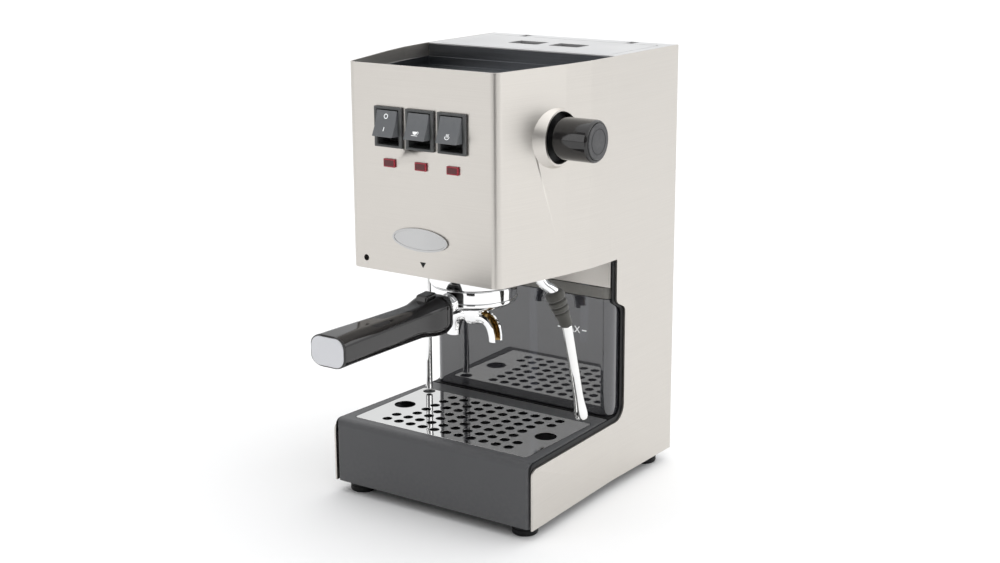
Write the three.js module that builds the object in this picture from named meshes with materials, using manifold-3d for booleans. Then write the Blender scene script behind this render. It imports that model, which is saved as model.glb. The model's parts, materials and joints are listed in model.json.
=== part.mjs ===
// Domestic espresso machine: one boiler, one group, a steam wand and a water tank behind the bay.
//
// Millimetres, +Z up. While the pieces are made, x runs to the right, y to the rear from the front
// face of the head, and z up from the surface that the machine stands on. The finished assembly is
// then moved so that its origin lies under the middle of its bounding box.

import * as THREE from 'three';
import { mergeVertices } from 'three/addons/utils/BufferGeometryUtils.js';
import Module from 'manifold-3d';

const wasm = await Module();
wasm.setup();

// ---------------------------------------------------------------- driving dimensions

const bodyTop = 380;              // top of the machine behind the cup tray
const headFrontTop = 378.5;       // top edge of the head at its front
const headBottom = 208;
const headDepth = 137;            // front of the head to the rear wall of the bay
const bodyDepth = 240;
const headHalfWidth = 73.5;       // the head narrows towards its front
const bodyHalfWidth = 98;
const taperDepth = 101;           // where the straight taper of the head would meet the sides
const foldRadius = 8;             // front corners of the head
const bendRadius = 250;           // soft bend where the taper runs into the sides
const sheet = 1.5;                // stainless steel sheet of the housing
const clearance = 0.4;            // between pieces that touch

const skirtBottom = 10;           // underside of the base, over the feet
const baseFront = 4;
const baseHalfWidth = 104;        // the base widens a little towards its front
const baseTop = 62;
const columnFront = 141.5;        // front edge of the side panels beside the tank
const gripRear = 156;             // finger cut-out in the side panels, to pull the tank by
const gripTop = 163;

const trayTop = 67;               // top of the drip tray and its grille
const trayFront = 3;
const trayRear = 133;
const deckTop = 67.3;             // the tank stands on this deck, just above the tray
const groupY = 70;                // axis of the boiler, group and portafilter
const wandX = 66;                 // swivel axis of the steam wand
const wandY = 70;
const knobY = 65;
const knobZ = 321.7;
const switchPitch = 31.8;
const switchZ = 328.5;
const lampZ = 299.2;

const finishes = {
  steel: { color: 0xd8d5cf, roughness: 0.35, metalness: 1 },
  polished: { color: 0xe4e4e4, roughness: 0.08, metalness: 1 },
  chrome: { color: 0xdedede, roughness: 0.06, metalness: 1 },
  blackPlastic: { color: 0x101010, roughness: 0.3, metalness: 0 },
  charcoal: { color: 0x37373a, roughness: 0.5, metalness: 0 },
  rubber: { color: 0x2e2d29, roughness: 0.8, metalness: 0 },
  smoke: { color: 0x4a4d52, roughness: 0.1, metalness: 0 },
  greyPlastic: { color: 0x8c8a88, roughness: 0.45, metalness: 0 },
  redLens: { color: 0x8c0f18, roughness: 0.15, metalness: 0 },
  aluminium: { color: 0xb7b9bb, roughness: 0.4, metalness: 1 },
  brass: { color: 0xb8945a, roughness: 0.35, metalness: 1 },
  silicone: { color: 0xc6ccd2, roughness: 0.4, metalness: 0 },
};

// ---------------------------------------------------------------- making solids

// A closed solid from a geometry: shared vertices merged, collapsed triangles dropped, faces out.
function toSolid(geometry) {
  const bare = new THREE.BufferGeometry();
  bare.setAttribute('position', geometry.getAttribute('position'));
  bare.setIndex(geometry.index);
  const merged = mergeVertices(bare, 1e-4);
  const points = merged.getAttribute('position');
  const corners = [0, 1, 2].map(() => new THREE.Vector3());
  const triangles = [];
  let volume = 0;
  for (let i = 0; i < merged.index.count; i += 3) {
    const [a, b, c] = [0, 1, 2].map((k) => merged.index.getX(i + k));
    if (a === b || b === c || c === a) continue;
    [a, b, c].forEach((index, k) => corners[k].fromBufferAttribute(points, index));
    volume += corners[0].dot(corners[1].cross(corners[2]));
    triangles.push([a, b, c]);
  }
  const outward = volume > 0 ? triangles : triangles.map(([a, b, c]) => [a, c, b]);
  return new wasm.Manifold(new wasm.Mesh({
    numProp: 3,
    vertProperties: new Float32Array(points.array),
    triVerts: new Uint32Array(outward.flat()),
  }));
}

function toGeometry(solid) {
  const mesh = solid.getMesh();
  const geometry = new THREE.BufferGeometry();
  geometry.setAttribute('position', new THREE.BufferAttribute(mesh.vertProperties, 3));
  geometry.setIndex(new THREE.BufferAttribute(mesh.triVerts, 1));
  geometry.computeVertexNormals();
  return geometry;
}

function join(...solids) {
  return solids.reduce((whole, next) => whole.add(next));
}

function cut(solid, ...tools) {
  return tools.reduce((left, tool) => left.subtract(tool), solid);
}

// A closed outline. Each corner is [x, y] or [x, y, radius], and a radius makes it round.
function outline(corners, stepDegrees = 18) {
  const count = corners.length;
  const at = (i) => new THREE.Vector2(...corners[(i + count) % count]);
  const points = corners.flatMap(([, , radius = 0], i) => {
    const corner = at(i);
    if (radius === 0) return [corner];
    const before = at(i - 1).sub(corner).normalize();
    const after = at(i + 1).sub(corner).normalize();
    const half = Math.acos(before.dot(after)) / 2;
    const start = corner.clone().addScaledVector(before, radius / Math.tan(half));
    const middle = before.clone().add(after).normalize();
    const centre = corner.clone().addScaledVector(middle, radius / Math.sin(half));
    const turn = (Math.PI - 2 * half) * Math.sign(after.cross(before));
    const steps = Math.max(1, Math.ceil(Math.abs(turn) / THREE.MathUtils.degToRad(stepDegrees)));
    return Array.from({ length: steps + 1 }, (_, k) => start.clone().rotateAround(centre, turn * k / steps));
  });
  return new THREE.Shape(points);
}

// Stations [forward, up] of a quarter of a superellipse and its three mirror images.
function roundedBar(halfWidth, halfHeight, power, count) {
  return new THREE.Shape(Array.from({ length: count }, (_, k) => {
    const angle = 2 * Math.PI * (k + 0.5) / count;
    const bulge = (value) => Math.sign(value) * Math.abs(value) ** (2 / power);
    return new THREE.Vector2(halfWidth * bulge(Math.cos(angle)), halfHeight * bulge(Math.sin(angle)));
  }));
}

// Prisms from an outline: over z, from [x, y]; over x, from [y, z]; over y, from [x, z].
function prismZ(shape, low, high) {
  const geometry = new THREE.ExtrudeGeometry(shape, { depth: high - low, bevelEnabled: false });
  return toSolid(geometry.translate(0, 0, low));
}

function prismX(shape, low, high) {
  const geometry = new THREE.ExtrudeGeometry(shape, { depth: high - low, bevelEnabled: false });
  const turn = new THREE.Matrix4().set(0, 0, 1, low, 1, 0, 0, 0, 0, 1, 0, 0, 0, 0, 0, 1);
  return toSolid(geometry.applyMatrix4(turn));
}

function prismY(shape, low, high) {
  const geometry = new THREE.ExtrudeGeometry(shape, { depth: high - low, bevelEnabled: false });
  const turn = new THREE.Matrix4().set(1, 0, 0, 0, 0, 0, -1, high, 0, 1, 0, 0, 0, 0, 0, 1);
  return toSolid(geometry.applyMatrix4(turn));
}

function block([x0, x1], [y0, y1], [z0, z1]) {
  const geometry = new THREE.BoxGeometry(x1 - x0, y1 - y0, z1 - z0);
  return toSolid(geometry.translate((x0 + x1) / 2, (y0 + y1) / 2, (z0 + z1) / 2));
}

function roundedBlock([x0, x1], [y0, y1], [z0, z1], radius) {
  return prismZ(outline([[x0, y0, radius], [x1, y0, radius], [x1, y1, radius], [x0, y1, radius]]), z0, z1);
}

// A block whose top and bottom are different rectangles, each [x0, x1, y0, y1].
function hopper(bottom, top, z0, z1) {
  const geometry = new THREE.BoxGeometry(1, 1, 1);
  const points = geometry.getAttribute('position');
  for (let i = 0; i < points.count; i += 1) {
    const [x0, x1, y0, y1] = points.getZ(i) > 0 ? top : bottom;
    points.setXYZ(i, points.getX(i) > 0 ? x1 : x0, points.getY(i) > 0 ? y1 : y0, points.getZ(i) > 0 ? z1 : z0);
  }
  return toSolid(geometry);
}

// Round pieces about an upright axis through [x, y], from a profile of [radius, z].
function turned(profile, sides = 24, [x, y] = [0, 0]) {
  const geometry = new THREE.LatheGeometry(profile.map(([r, z]) => new THREE.Vector2(r, z)), sides);
  return toSolid(geometry.rotateX(Math.PI / 2).translate(x, y, 0));
}

function post(radius, [x, y], [z0, z1], sides = 16) {
  return turned([[0, z0], [radius, z0], [radius, z1], [0, z1]], sides, [x, y]);
}

function barX(radius, [y, z], [x0, x1], sides = 24) {
  const geometry = new THREE.CylinderGeometry(radius, radius, x1 - x0, sides);
  return toSolid(geometry.rotateZ(Math.PI / 2).translate((x0 + x1) / 2, y, z));
}

function coneX([radius0, radius1], [y, z], [x0, x1], sides = 24) {
  const geometry = new THREE.CylinderGeometry(radius0, radius1, x1 - x0, sides);
  return toSolid(geometry.rotateZ(Math.PI / 2).translate((x0 + x1) / 2, y, z));
}

function barY(radius, [x, z], [y0, y1], sides = 16) {
  const geometry = new THREE.CylinderGeometry(radius, radius, y1 - y0, sides);
  return toSolid(geometry.translate(x, (y0 + y1) / 2, z));
}

// A round rod or tube core along a smooth path through the points.
function rod(radius, points, steps = 20, sides = 8) {
  const section = new THREE.Shape(new THREE.EllipseCurve(0, 0, radius, radius).getPoints(sides).slice(1));
  const extrudePath = new THREE.CatmullRomCurve3(points.map((point) => new THREE.Vector3(...point)));
  return toSolid(new THREE.ExtrudeGeometry(section, { steps, extrudePath, bevelEnabled: false }));
}

const machine = new THREE.Group();

function add(name, finish, solid, parent = machine) {
  const mesh = new THREE.Mesh(toGeometry(solid), new THREE.MeshStandardMaterial(finishes[finish]));
  mesh.name = name;
  parent.add(mesh);
  return mesh;
}

// ---------------------------------------------------------------- housing

const wide = [-200, 200];
const taper = (bodyHalfWidth - headHalfWidth) / taperDepth;

// Plan of the head and body, drawn in from the outside by a distance.
function bodyPlan(inset, rear = bodyDepth) {
  const slant = inset * Math.hypot(1, taper);
  const nose = headHalfWidth + taper * inset - slant;
  const side = bodyHalfWidth - inset;
  const bend = (side + slant - headHalfWidth) / taper;
  const right = [[side, rear], [side, bend, bendRadius - inset], [nose, inset, Math.max(foldRadius - inset, 1)]];
  const left = right.map(([x, ...rest]) => [-x, ...rest]).reverse();
  return outline([...right, ...left], 7);
}

// Half width of the base at a depth: straight beside the tank, wider towards the front.
function baseWidth(y) {
  const forward = Math.max(0, (headDepth - y) / (headDepth - baseFront));
  return bodyHalfWidth + (baseHalfWidth - bodyHalfWidth) * forward;
}

// Side view of the lower side panels, with the edge of the bay moved out by a distance.
function panelProfile(grow) {
  return outline([
    [baseFront, skirtBottom],
    [baseFront, baseTop + grow, 6],
    [gripRear - grow, baseTop + grow, 14 - grow],
    [gripRear - grow, gripTop, 6],
    [columnFront - grow, gripTop + 7, 6],
    [columnFront - grow, headBottom],
    [bodyDepth, headBottom],
    [bodyDepth, skirtBottom],
  ]);
}

function sidePlate(side, inset, thickness) {
  const depths = [baseFront, headDepth, bodyDepth];
  const outer = depths.map((y) => [side * (baseWidth(y) - inset), y]);
  const inner = depths.map((y) => [side * (baseWidth(y) - inset - thickness), y]).reverse();
  return prismZ(outline([...outer, ...inner]), skirtBottom, headBottom);
}

const boss = { face: 90.5, foot: 78, faceRadius: 22.9, footRadius: 32, hole: 21.2 };

function makeHousing() {
  const head = cut(
    prismZ(bodyPlan(0), headBottom, bodyTop),
    prismZ(bodyPlan(sheet, bodyDepth + 10), headBottom - 1, bodyTop + 1),
  );
  const topSlope = prismX(outline([
    [-10, headBottom - 1], [-10, headFrontTop], [0, headFrontTop],
    [headDepth, bodyTop], [bodyDepth + 1, bodyTop], [bodyDepth + 1, headBottom - 1],
  ]), ...wide);
  const plates = [1, -1].map((side) => sidePlate(side, 0, sheet));
  const panels = join(...plates).intersect(prismX(panelProfile(0), ...wide));
  const bossCone = coneX([boss.footRadius, boss.faceRadius], [knobY, knobZ], [boss.foot, boss.face], 40);
  const bossHollow = coneX(
    [boss.footRadius - 2 * sheet, boss.faceRadius - sheet], [knobY, knobZ], [boss.foot - 2, boss.face - sheet], 40,
  );
  const bossShell = cut(
    bossCone,
    bossHollow,
    barX(boss.hole, [knobY, knobZ], [70, boss.face + 1], 40),
    prismZ(bodyPlan(sheet), knobZ - 40, knobZ + 40),
  );
  const windows = [-1, 0, 1].flatMap((place) => [
    block([place * switchPitch - 12.4, place * switchPitch + 12.4], [-5, 5], [switchZ - 15, switchZ + 15]),
    block([place * switchPitch - 4.9, place * switchPitch + 4.9], [-5, 5], [lampZ - 2.6, lampZ + 2.6]),
  ]);
  const bossHole = join(bossHollow, barX(boss.hole, [knobY, knobZ], [70, 110], 40));
  const pressureHole = barY(2.75, [-59, 217], [-5, 5], 10);
  const shell = cut(head.intersect(topSlope), bossHole, pressureHole, ...windows);
  add('housing', 'steel', join(shell, panels, bossShell));
}

function makeLiners() {
  const edge = cut(prismX(panelProfile(4.5), ...wide), prismX(panelProfile(-5), ...wide));
  [['right', 1], ['left', -1]].forEach(([name, side]) => {
    const plate = sidePlate(side, sheet + clearance, 1);
    const band = plate.intersect(edge).intersect(block(wide, [baseFront, bodyDepth], [skirtBottom, headBottom - clearance]));
    add(`edge_liner_${name}`, 'blackPlastic', band);
  });
}

const shelfZ = headBottom + 0.3;
const floorHoles = { group: 41, drain: 5, wand: 8 };
const drainX = -80;
const drainY = 109;

function makeFloors() {
  const plate = prismZ(bodyPlan(sheet + clearance, headDepth - 0.5), shelfZ, shelfZ + sheet);
  const holes = [
    post(floorHoles.group, [0, groupY], [200, 215], 24),
    post(floorHoles.drain, [drainX, drainY], [200, 215], 10),
    post(floorHoles.wand, [wandX, wandY], [200, 215], 12),
  ];
  add('head_floor', 'steel', cut(plate, ...holes));
  const shelf = join(
    block([-96, 96], [headDepth, bodyDepth - 5], [shelfZ, shelfZ + sheet]),
    block([-94.3, 94.3], [headDepth, headDepth + sheet], [183.2, shelfZ + 0.1]),
  );
  const shelfHoles = [
    post(5.5, [hoseX.suction, hoseY], [200, 215], 10),
    post(5.5, [hoseX.return, hoseY], [200, 215], 10),
    block([-10.5, 50.5], [163.5, 210.5], [200, 215]),
  ];
  add('rear_shelf', 'steel', cut(shelf, ...shelfHoles));
}

function makeRearPanel() {
  const plate = block([-96, 96], [bodyDepth - 4, bodyDepth - 4 + sheet], [skirtBottom + 4, bodyTop - 9]);
  const slots = [0, 1, 2, 3, 4].map((k) => (
    roundedBlock([-35, 35], [230, 245], [300 + 12 * k, 304 + 12 * k], 1)
  ));
  add('rear_panel', 'steel', cut(plate, ...slots, block([46, 74], [230, 245], [25, 45])));
  const socket = cut(
    join(block([42, 78], [237.8, 240], [22, 48]), block([46.5, 73.5], [220, 238], [25.5, 44.5])),
    block([49.5, 70.5], [222.5, 241], [28.5, 41.5]),
  );
  add('power_inlet', 'blackPlastic', socket);
}

// ---------------------------------------------------------------- top

const lid = { halfWidth: 87.4, front: 143.6, rear: 223.5, openingRear: 225, bottom: 376.8 };
const hinge = { x: 56, y: 234, z: 374.5, pinRadius: 1.6 };

function makeTop() {
  const floorZ = 360;
  const rimZ = 368.5;
  const pan = cut(
    prismZ(bodyPlan(sheet + clearance, headDepth - clearance), floorZ, rimZ),
    prismZ(bodyPlan(sheet + clearance + 1.2, headDepth - clearance - 1.2), floorZ + 1.2, rimZ + 1),
  );
  add('cup_tray', 'steel', pan);

  const frameWidth = bodyHalfWidth - sheet - clearance;
  const opening = roundedBlock(
    [-lid.halfWidth - 0.6, lid.halfWidth + 0.6], [lid.front - 0.6, lid.openingRear], [360, 385], 4.6,
  );
  const topPlate = block([-frameWidth, frameWidth], [headDepth, bodyDepth], [lid.bottom, bodyTop]);
  const frontWall = block([-frameWidth, frameWidth], [headDepth, headDepth + 2], [rimZ, lid.bottom + 1]);
  const pinBeam = block([-frameWidth, frameWidth], [hinge.y - 3.5, hinge.y + 3.5], [hinge.z - 3, lid.bottom + 1]);
  const slots = [1, -1].map((side) => (
    block([side * hinge.x - 4, side * hinge.x + 4], [lid.openingRear - 1, bodyDepth - 1.5], [360, 385])
  ));
  const pinHole = barX(hinge.pinRadius + 0.3, [hinge.y, hinge.z], wide, 8);
  add('top_frame', 'steel', cut(join(topPlate, frontWall, pinBeam), opening, pinHole, ...slots));

  const fingerHoles = [1, -1].map((side) => (
    roundedBlock([side * 21.25 - 15.25, side * 21.25 + 15.25], [173.5, 194], [360, 385], 2)
  ));
  const plate = roundedBlock([-lid.halfWidth, lid.halfWidth], [lid.front, lid.rear], [lid.bottom, bodyTop], 4);
  const arms = [1, -1].map((side) => join(
    block([side * hinge.x - 3, side * hinge.x + 3], [lid.rear - 12, hinge.y], [hinge.z - 2.6, hinge.z + 2.6]),
    barX(2.6, [hinge.y, hinge.z], [side * hinge.x - 3, side * hinge.x + 3], 12),
  ));
  const armHole = barX(hinge.pinRadius + 0.3, [hinge.y, hinge.z], wide, 8);
  add('tank_lid', 'steel', cut(join(plate, ...arms), armHole, ...fingerHoles));
  add('lid_hinge_rod', 'chrome', barX(hinge.pinRadius, [hinge.y, hinge.z], [-hinge.x - 12, hinge.x + 12], 8));
}

function makeFillFunnel() {
  const wall = 2;
  const neck = [-10, 50, 164, 210];
  const mouth = [-84, 84, 147, 221];
  const grow = ([x0, x1, y0, y1], by) => [x0 - by, x1 + by, y0 - by, y1 + by];
  const outside = join(hopper(neck, mouth, 335, 371), hopper(neck, neck, 186, 335.5));
  const inside = join(
    hopper(grow(neck, -wall), grow(mouth, -wall), 335, 371.5),
    hopper(grow(neck, -wall), grow(neck, -wall), 185, 336),
  );
  add('fill_funnel', 'blackPlastic', cut(outside, inside));
}

// ---------------------------------------------------------------- switches and lamps

const rocker = { pivotY: 3, reach: 15.1, halfAngle: 46.8, apex: 9.2, tilt: 20 };

function makeSwitches() {
  ['power', 'brew', 'steam'].forEach((name, index) => {
    const x = (index - 1) * switchPitch;
    const station = new THREE.Group();
    station.position.set(x, 0, switchZ);
    machine.add(station);

    const bezel = cut(
      join(block([-14, 14], [-2.5, -0.3], [-16.5, 16.5]), block([-12, 12], [-0.5, 16], [-14.7, 14.7])),
      block([-10.8, 10.8], [-3, 14], [-14.2, 14.2]),
    );
    add(`${name}_switch_bezel`, 'charcoal', bezel, station);

    const angle = THREE.MathUtils.degToRad(rocker.halfAngle);
    const endY = -rocker.reach * Math.cos(angle);
    const endZ = rocker.reach * Math.sin(angle);
    const side = outline([[-rocker.apex, 0], [endY, -endZ], [2, -7, 2], [8, 0, 3], [2, 7, 2], [endY, endZ]]);
    const key = add(`${name}_rocker`, 'blackPlastic', prismX(side, -10.3, 10.3), station);
    key.position.y = rocker.pivotY;
    key.rotation.x = -THREE.MathUtils.degToRad(rocker.tilt);

    const lens = join(
      block([-5.75, 5.75], [-1.8, -0.3], [-3.4, 3.4]),
      block([-4.6, 4.6], [-0.5, 9], [-2.3, 2.3]),
    );
    const lamp = add(`${name}_lamp`, 'redLens', lens, station);
    lamp.position.z = lampZ - switchZ;
  });
}

function makeBadge() {
  const plate = cut(
    prismY(roundedBar(28, 9.5, 2, 28), -1.6, -0.3),
    prismY(roundedBar(26.2, 7.8, 2, 28), -2, -1.1),
  );
  add('front_badge', 'chrome', plate).position.set(-2, 0, 239);
}

// ---------------------------------------------------------------- boiler, group and inside parts

function makeBoiler() {
  const boiler = new THREE.Group();
  boiler.position.set(0, groupY, 0);
  machine.add(boiler);
  add('boiler_lower', 'aluminium', turned([
    [0, 214], [38, 214], [38, 250], [44, 250], [44, 256], [33, 256], [33, 220], [0, 220],
  ], 20), boiler);
  add('boiler_upper', 'aluminium', turned([
    [0, 300], [36, 300], [38, 296], [38, 262.4], [44, 262.4], [44, 256.4], [33, 256.4], [33, 294], [0, 294],
  ], 20), boiler);
  add('heating_element', 'steel', turned([
    [24, 228], [28, 224], [32, 228], [28, 232], [24, 228],
  ], 16), boiler);
  add('boiler_thermostat', 'brass', post(7, [0, -46], [228, 244], 10), boiler);

  const collar = turned([
    [32.4, 190.4], [37.6, 190.4], [37.6, 206], [37, 207.5], [37, 213.7], [0, 213.7], [0, 204],
    [35.6, 204], [35.6, 194], [32.4, 194], [32.4, 190.4],
  ], 28);
  const notch = block([-36, 36], [-9.6, 9.6], [186, 196]).intersect(post(35.6, [0, 0], [186, 200], 28));
  const entry = toSolid(toGeometry(notch).rotateZ(-THREE.MathUtils.degToRad(45)));
  add('group_head', 'chrome', cut(collar, entry), boiler);
  add('group_gasket', 'rubber', turned([
    [28, 198.6], [35.2, 198.6], [35.2, 203.7], [28, 203.7], [28, 198.6],
  ], 20), boiler);
  add('shower_screen', 'polished', post(27.5, [0, 0], [201.5, 203.7], 16), boiler);
}

const hoseX = { suction: 7.5, return: 61 };
const hoseY = 150;

function makeHydraulics() {
  const valve = join(
    block([-90, -60], [94, 120], [212, 234]),
    post(13, [-75, 107], [233, 262], 14),
  );
  add('brew_valve', 'brass', valve);
  add('brew_pipe', 'chrome', rod(2.5, [[-58.8, 98.5, 222], [-52, 95.4, 222.4], [-45, 91.6, 223.4], [-37, 87.4, 224]], 8));
  add('drain_tube', 'chrome', cut(
    post(3.1, [drainX, drainY], [70, 211.6], 10),
    post(2, [drainX, drainY], [69, 205], 8),
  ));

  const pump = join(
    barY(18, [-62, 245], [172, 216], 16),
    block([-82, -42], [182, 206], [225, 265]),
    barY(6, [-62, 245], [162, 226], 10),
  );
  add('pump', 'charcoal', pump);
  add('pump_mount', 'rubber', block([-76, -48], [184, 204], [shelfZ + sheet + 0.3, 224.7]));
  add('relief_valve', 'brass', join(post(8, [61, hoseY], [228, 262], 12), barX(5, [hoseY, 250], [68, 80], 10)));
  add('suction_hose', 'silicone', rod(3.6, [
    [hoseX.suction, hoseY, 76], [hoseX.suction, hoseY, 120], [hoseX.suction, hoseY, 180],
    [hoseX.suction, hoseY, 212], [-2, hoseY, 236], [-34, hoseY, 245], [-56, 151, 245], [-62, 157, 245],
    [-62, 160.6, 245],
  ], 28));
  add('return_hose', 'silicone', rod(3.6, [
    [hoseX.return, hoseY, 128], [hoseX.return, hoseY, 170], [hoseX.return, hoseY, 227.6],
  ], 6));

  const steamValve = join(
    barX(11, [knobY, knobZ], [36, 60], 14),
    post(5, [48, knobY], [304, 316], 10),
  );
  add('steam_valve', 'brass', steamValve);
  add('steam_feed_pipe', 'chrome', rod(2.5, [[48, 65, 303.7], [48, 65, 301], [56, 65, 292], [56, 66, 250],
    [64, 69, 236], [wandX, wandY, 229], [wandX, wandY, 222.5]], 18));
  add('wand_socket', 'brass', join(
    post(9, [wandX, wandY], [shelfZ + sheet + 0.3, 216], 6),
    post(6, [wandX, wandY], [215.5, 222], 10),
  ));
}

// ---------------------------------------------------------------- steam knob and wand

function makeSteamKnob() {
  const control = new THREE.Group();
  control.position.set(0, knobY, knobZ);
  machine.add(control);
  add('valve_stem', 'chrome', barX(4, [0, 0], [60.4, 91.6], 10), control);
  add('steam_knob', 'blackPlastic', join(
    barX(17.2, [0, 0], [92, 124], 36),
    barX(15, [0, 0], [123, 124.7], 24),
  ), control);
  add('knob_cap', 'greyPlastic', barX(14.2, [0, 0], [125, 125.6], 24), control);
}

const wandPath = [[0, 0, 207.4], [0.4, 0.8, 202], [2.9, 3.2, 197], [6.6, 6.3, 193.4], [9, 8.2, 190.4]];
const wandEnd = [10, 9.2, 186.6];

function makeSteamWand() {
  const wand = new THREE.Group();
  wand.position.set(wandX, wandY, 0);
  machine.add(wand);
  add('wand_pipe', 'chrome', join(rod(4.8, [...wandPath, wandEnd], 10, 10), post(6.8, [0, 0], [207, 209.6], 12)), wand);
  const sleeve = join(
    rod(5.6, [[10, 9.2, 187], [16.9, 16.4, 160.6]], 1, 12),
    rod(8.2, [[9, 8.2, 190.6], [11.6, 10.8, 181]], 1, 12),
    rod(7.2, [[11.4, 10.6, 182], [13.5, 12.8, 173.6]], 1, 12),
  );
  add('wand_grip', 'rubber', cut(sleeve, rod(5.2, [...wandPath, [10.2, 9.4, 185.8]], 10, 10)), wand);
  add('wand_tube', 'polished', join(
    rod(4.3, [[17.1, 16.9, 159.4], [23.8, 29.6, 79]], 1, 12),
    rod(5.8, [[23, 28.1, 88], [24, 30, 75.5]], 1, 12),
  ), wand);
}

// ---------------------------------------------------------------- portafilter

function makePortafilter() {
  const portafilter = new THREE.Group();
  portafilter.position.set(0, groupY, 0);
  machine.add(portafilter);

  const bowl = turned([
    [0, 167], [12, 167], [22, 169.4], [31, 172.6], [35.6, 175.4], [36.6, 176.6], [36.6, 188.6], [35.6, 189.8],
    [31.6, 189.8], [31.6, 197.6], [29.6, 197.6], [29.6, 176], [0, 172],
  ], 28);
  const lugs = block([-36, 36], [-9, 9], [194.4, 197.6]).intersect(post(35, [0, 0], [190, 200], 28));
  const bore = post(29.6, [0, 0], [176, 199], 28);
  const shank = barY(8, [0, 178], [-56, -30], 12);
  const outlet = post(4, [0, 0], [160, 180], 10);
  add('portafilter_body', 'chrome', cut(join(bowl, lugs, shank), bore, outlet), portafilter);

  add('filter_basket', 'polished', turned([
    [0, 177.4], [26, 177.4], [28.6, 179], [29, 197.9], [31.4, 197.9], [31.4, 198.4],
    [28.2, 198.4], [27.8, 180], [25.6, 178.2], [0, 178.2],
  ], 24), portafilter);

  const arm = (side, low, high, halfDepth, inset) => prismY(outline([
    [side * 2, high - inset * 2, 0],
    [side * (12 - inset), high - inset * 1.6, 6],
    [side * (25 - inset), 152, 10],
    [side * (27.5 - inset), low - inset * 4],
    [side * (18.5 + inset), low - inset * 4],
    [side * (15.5 + inset), 150, 5],
    [side * (7 + inset), 156 + inset, 5],
    [0, 156 + inset],
  ], 24), -halfDepth, halfDepth);
  const arms = join(...[1, -1].map((side) => arm(side, 141, 166, 7.5, 0)));
  const neck = post(9.5, [0, 0], [156, 166.6], 14);
  const channels = [1, -1].map((side) => block(
    side > 0 ? [11, 40] : [-40, -11], [-5.3, 5.3], [130, 170],
  ).intersect(arm(side, 141, 174, 5.3, 1.8)));
  const throat = post(4, [0, 0], [150, 170], 10);
  const tunnel = block([-12, 12], [-4, 4], [158.5, 163]);
  add('spout', 'chrome', cut(join(arms, neck), throat, tunnel, ...channels), portafilter);

  const grip = { start: -48.6, end: -187, startZ: 173.2, endZ: 175 };
  const length = grip.start - grip.end;
  const section = new THREE.ExtrudeGeometry(roundedBar(1, 1, 3, 24), { depth: 1, steps: 8, bevelEnabled: false });
  const points = section.getAttribute('position');
  for (let i = 0; i < points.count; i += 1) {
    const along = points.getZ(i);
    const swell = Math.max(0, 1 - along * 5) ** 0.5;
    const halfWidth = THREE.MathUtils.lerp(12.6, 15.6, along) + 4 * swell;
    const halfHeight = THREE.MathUtils.lerp(13, 12.8, along) + 4.6 * swell;
    points.setXYZ(
      i,
      points.getX(i) * halfWidth,
      grip.start - along * length,
      THREE.MathUtils.lerp(grip.startZ, grip.endZ, along) + points.getY(i) * halfHeight,
    );
  }
  const thumbRest = prismX(outline([[-60, 180], [-60, 194.5, 1], [-73, 193.5, 1.5], [-77, 180]]), -5.5, 5.5);
  const socket = barY(8.4, [0, 178], [-57, -34], 12);
  add('portafilter_handle', 'blackPlastic', cut(join(toSolid(section), thumbRest), socket), portafilter);

  const capShape = roundedBar(14.6, 11.8, 3, 24);
  const cap = add('handle_cap', 'polished', prismY(capShape, grip.end - 3.2, grip.end - 0.3), portafilter);
  cap.position.z = grip.endZ;
}

// ---------------------------------------------------------------- base, tray and tank

function makeBase() {
  const floor = block([-95, 95], [8, bodyDepth - 5], [skirtBottom, skirtBottom + 3]);
  const deckFront = block([-94.2, 94.2], [134, 137], [skirtBottom, deckTop]);
  const deck = block([-94.2, 94.2], [134, bodyDepth - 5], [deckTop - 3, deckTop]);
  const openings = block([46, 74], [218, 245], [20, 50]);
  add('base_tub', 'blackPlastic', cut(join(floor, deckFront, deck), openings));
  const feet = { front: [86, 20], rear: [82, 220] };
  Object.entries(feet).forEach(([place, [x, y]]) => {
    [['right', 1], ['left', -1]].forEach(([name, side]) => {
      const foot = turned([[0, 0], [10, 0], [11, 1], [11, 9.6], [0, 9.6]], 14);
      add(`foot_${place}_${name}`, 'rubber', foot).position.set(side * x, y, 0);
    });
  });
}

const grille = { halfWidth: 90, front: 16, rear: 115, thickness: 1.6 };

function makeDripTray() {
  const trayWidth = (y) => baseWidth(y) - sheet - clearance * 2 - 1.4;
  const plan = (inset) => outline([
    [trayWidth(trayFront) - inset, trayFront + inset, 3],
    [trayWidth(trayRear) - inset, trayRear - inset],
    [-trayWidth(trayRear) + inset, trayRear - inset],
    [-trayWidth(trayFront) + inset, trayFront + inset, 3],
  ], 30);
  const sideView = outline([
    [trayFront, skirtBottom + 0.5], [trayFront, trayTop, 6], [trayRear, trayTop],
    [trayRear, 13.6], [7, 13.6], [7, skirtBottom + 0.5],
  ]);
  const outside = prismZ(plan(0), 5, 80).intersect(prismX(sideView, ...wide));
  const cavity = roundedBlock([-86, 86], [19, 112], [16, 80], 8);
  const recess = roundedBlock(
    [-grille.halfWidth - 0.5, grille.halfWidth + 0.5], [grille.front - 0.5, grille.rear + 0.5], [65, 80], 2.5,
  );
  add('drip_tray', 'charcoal', cut(outside, cavity, recess));
}

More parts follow.
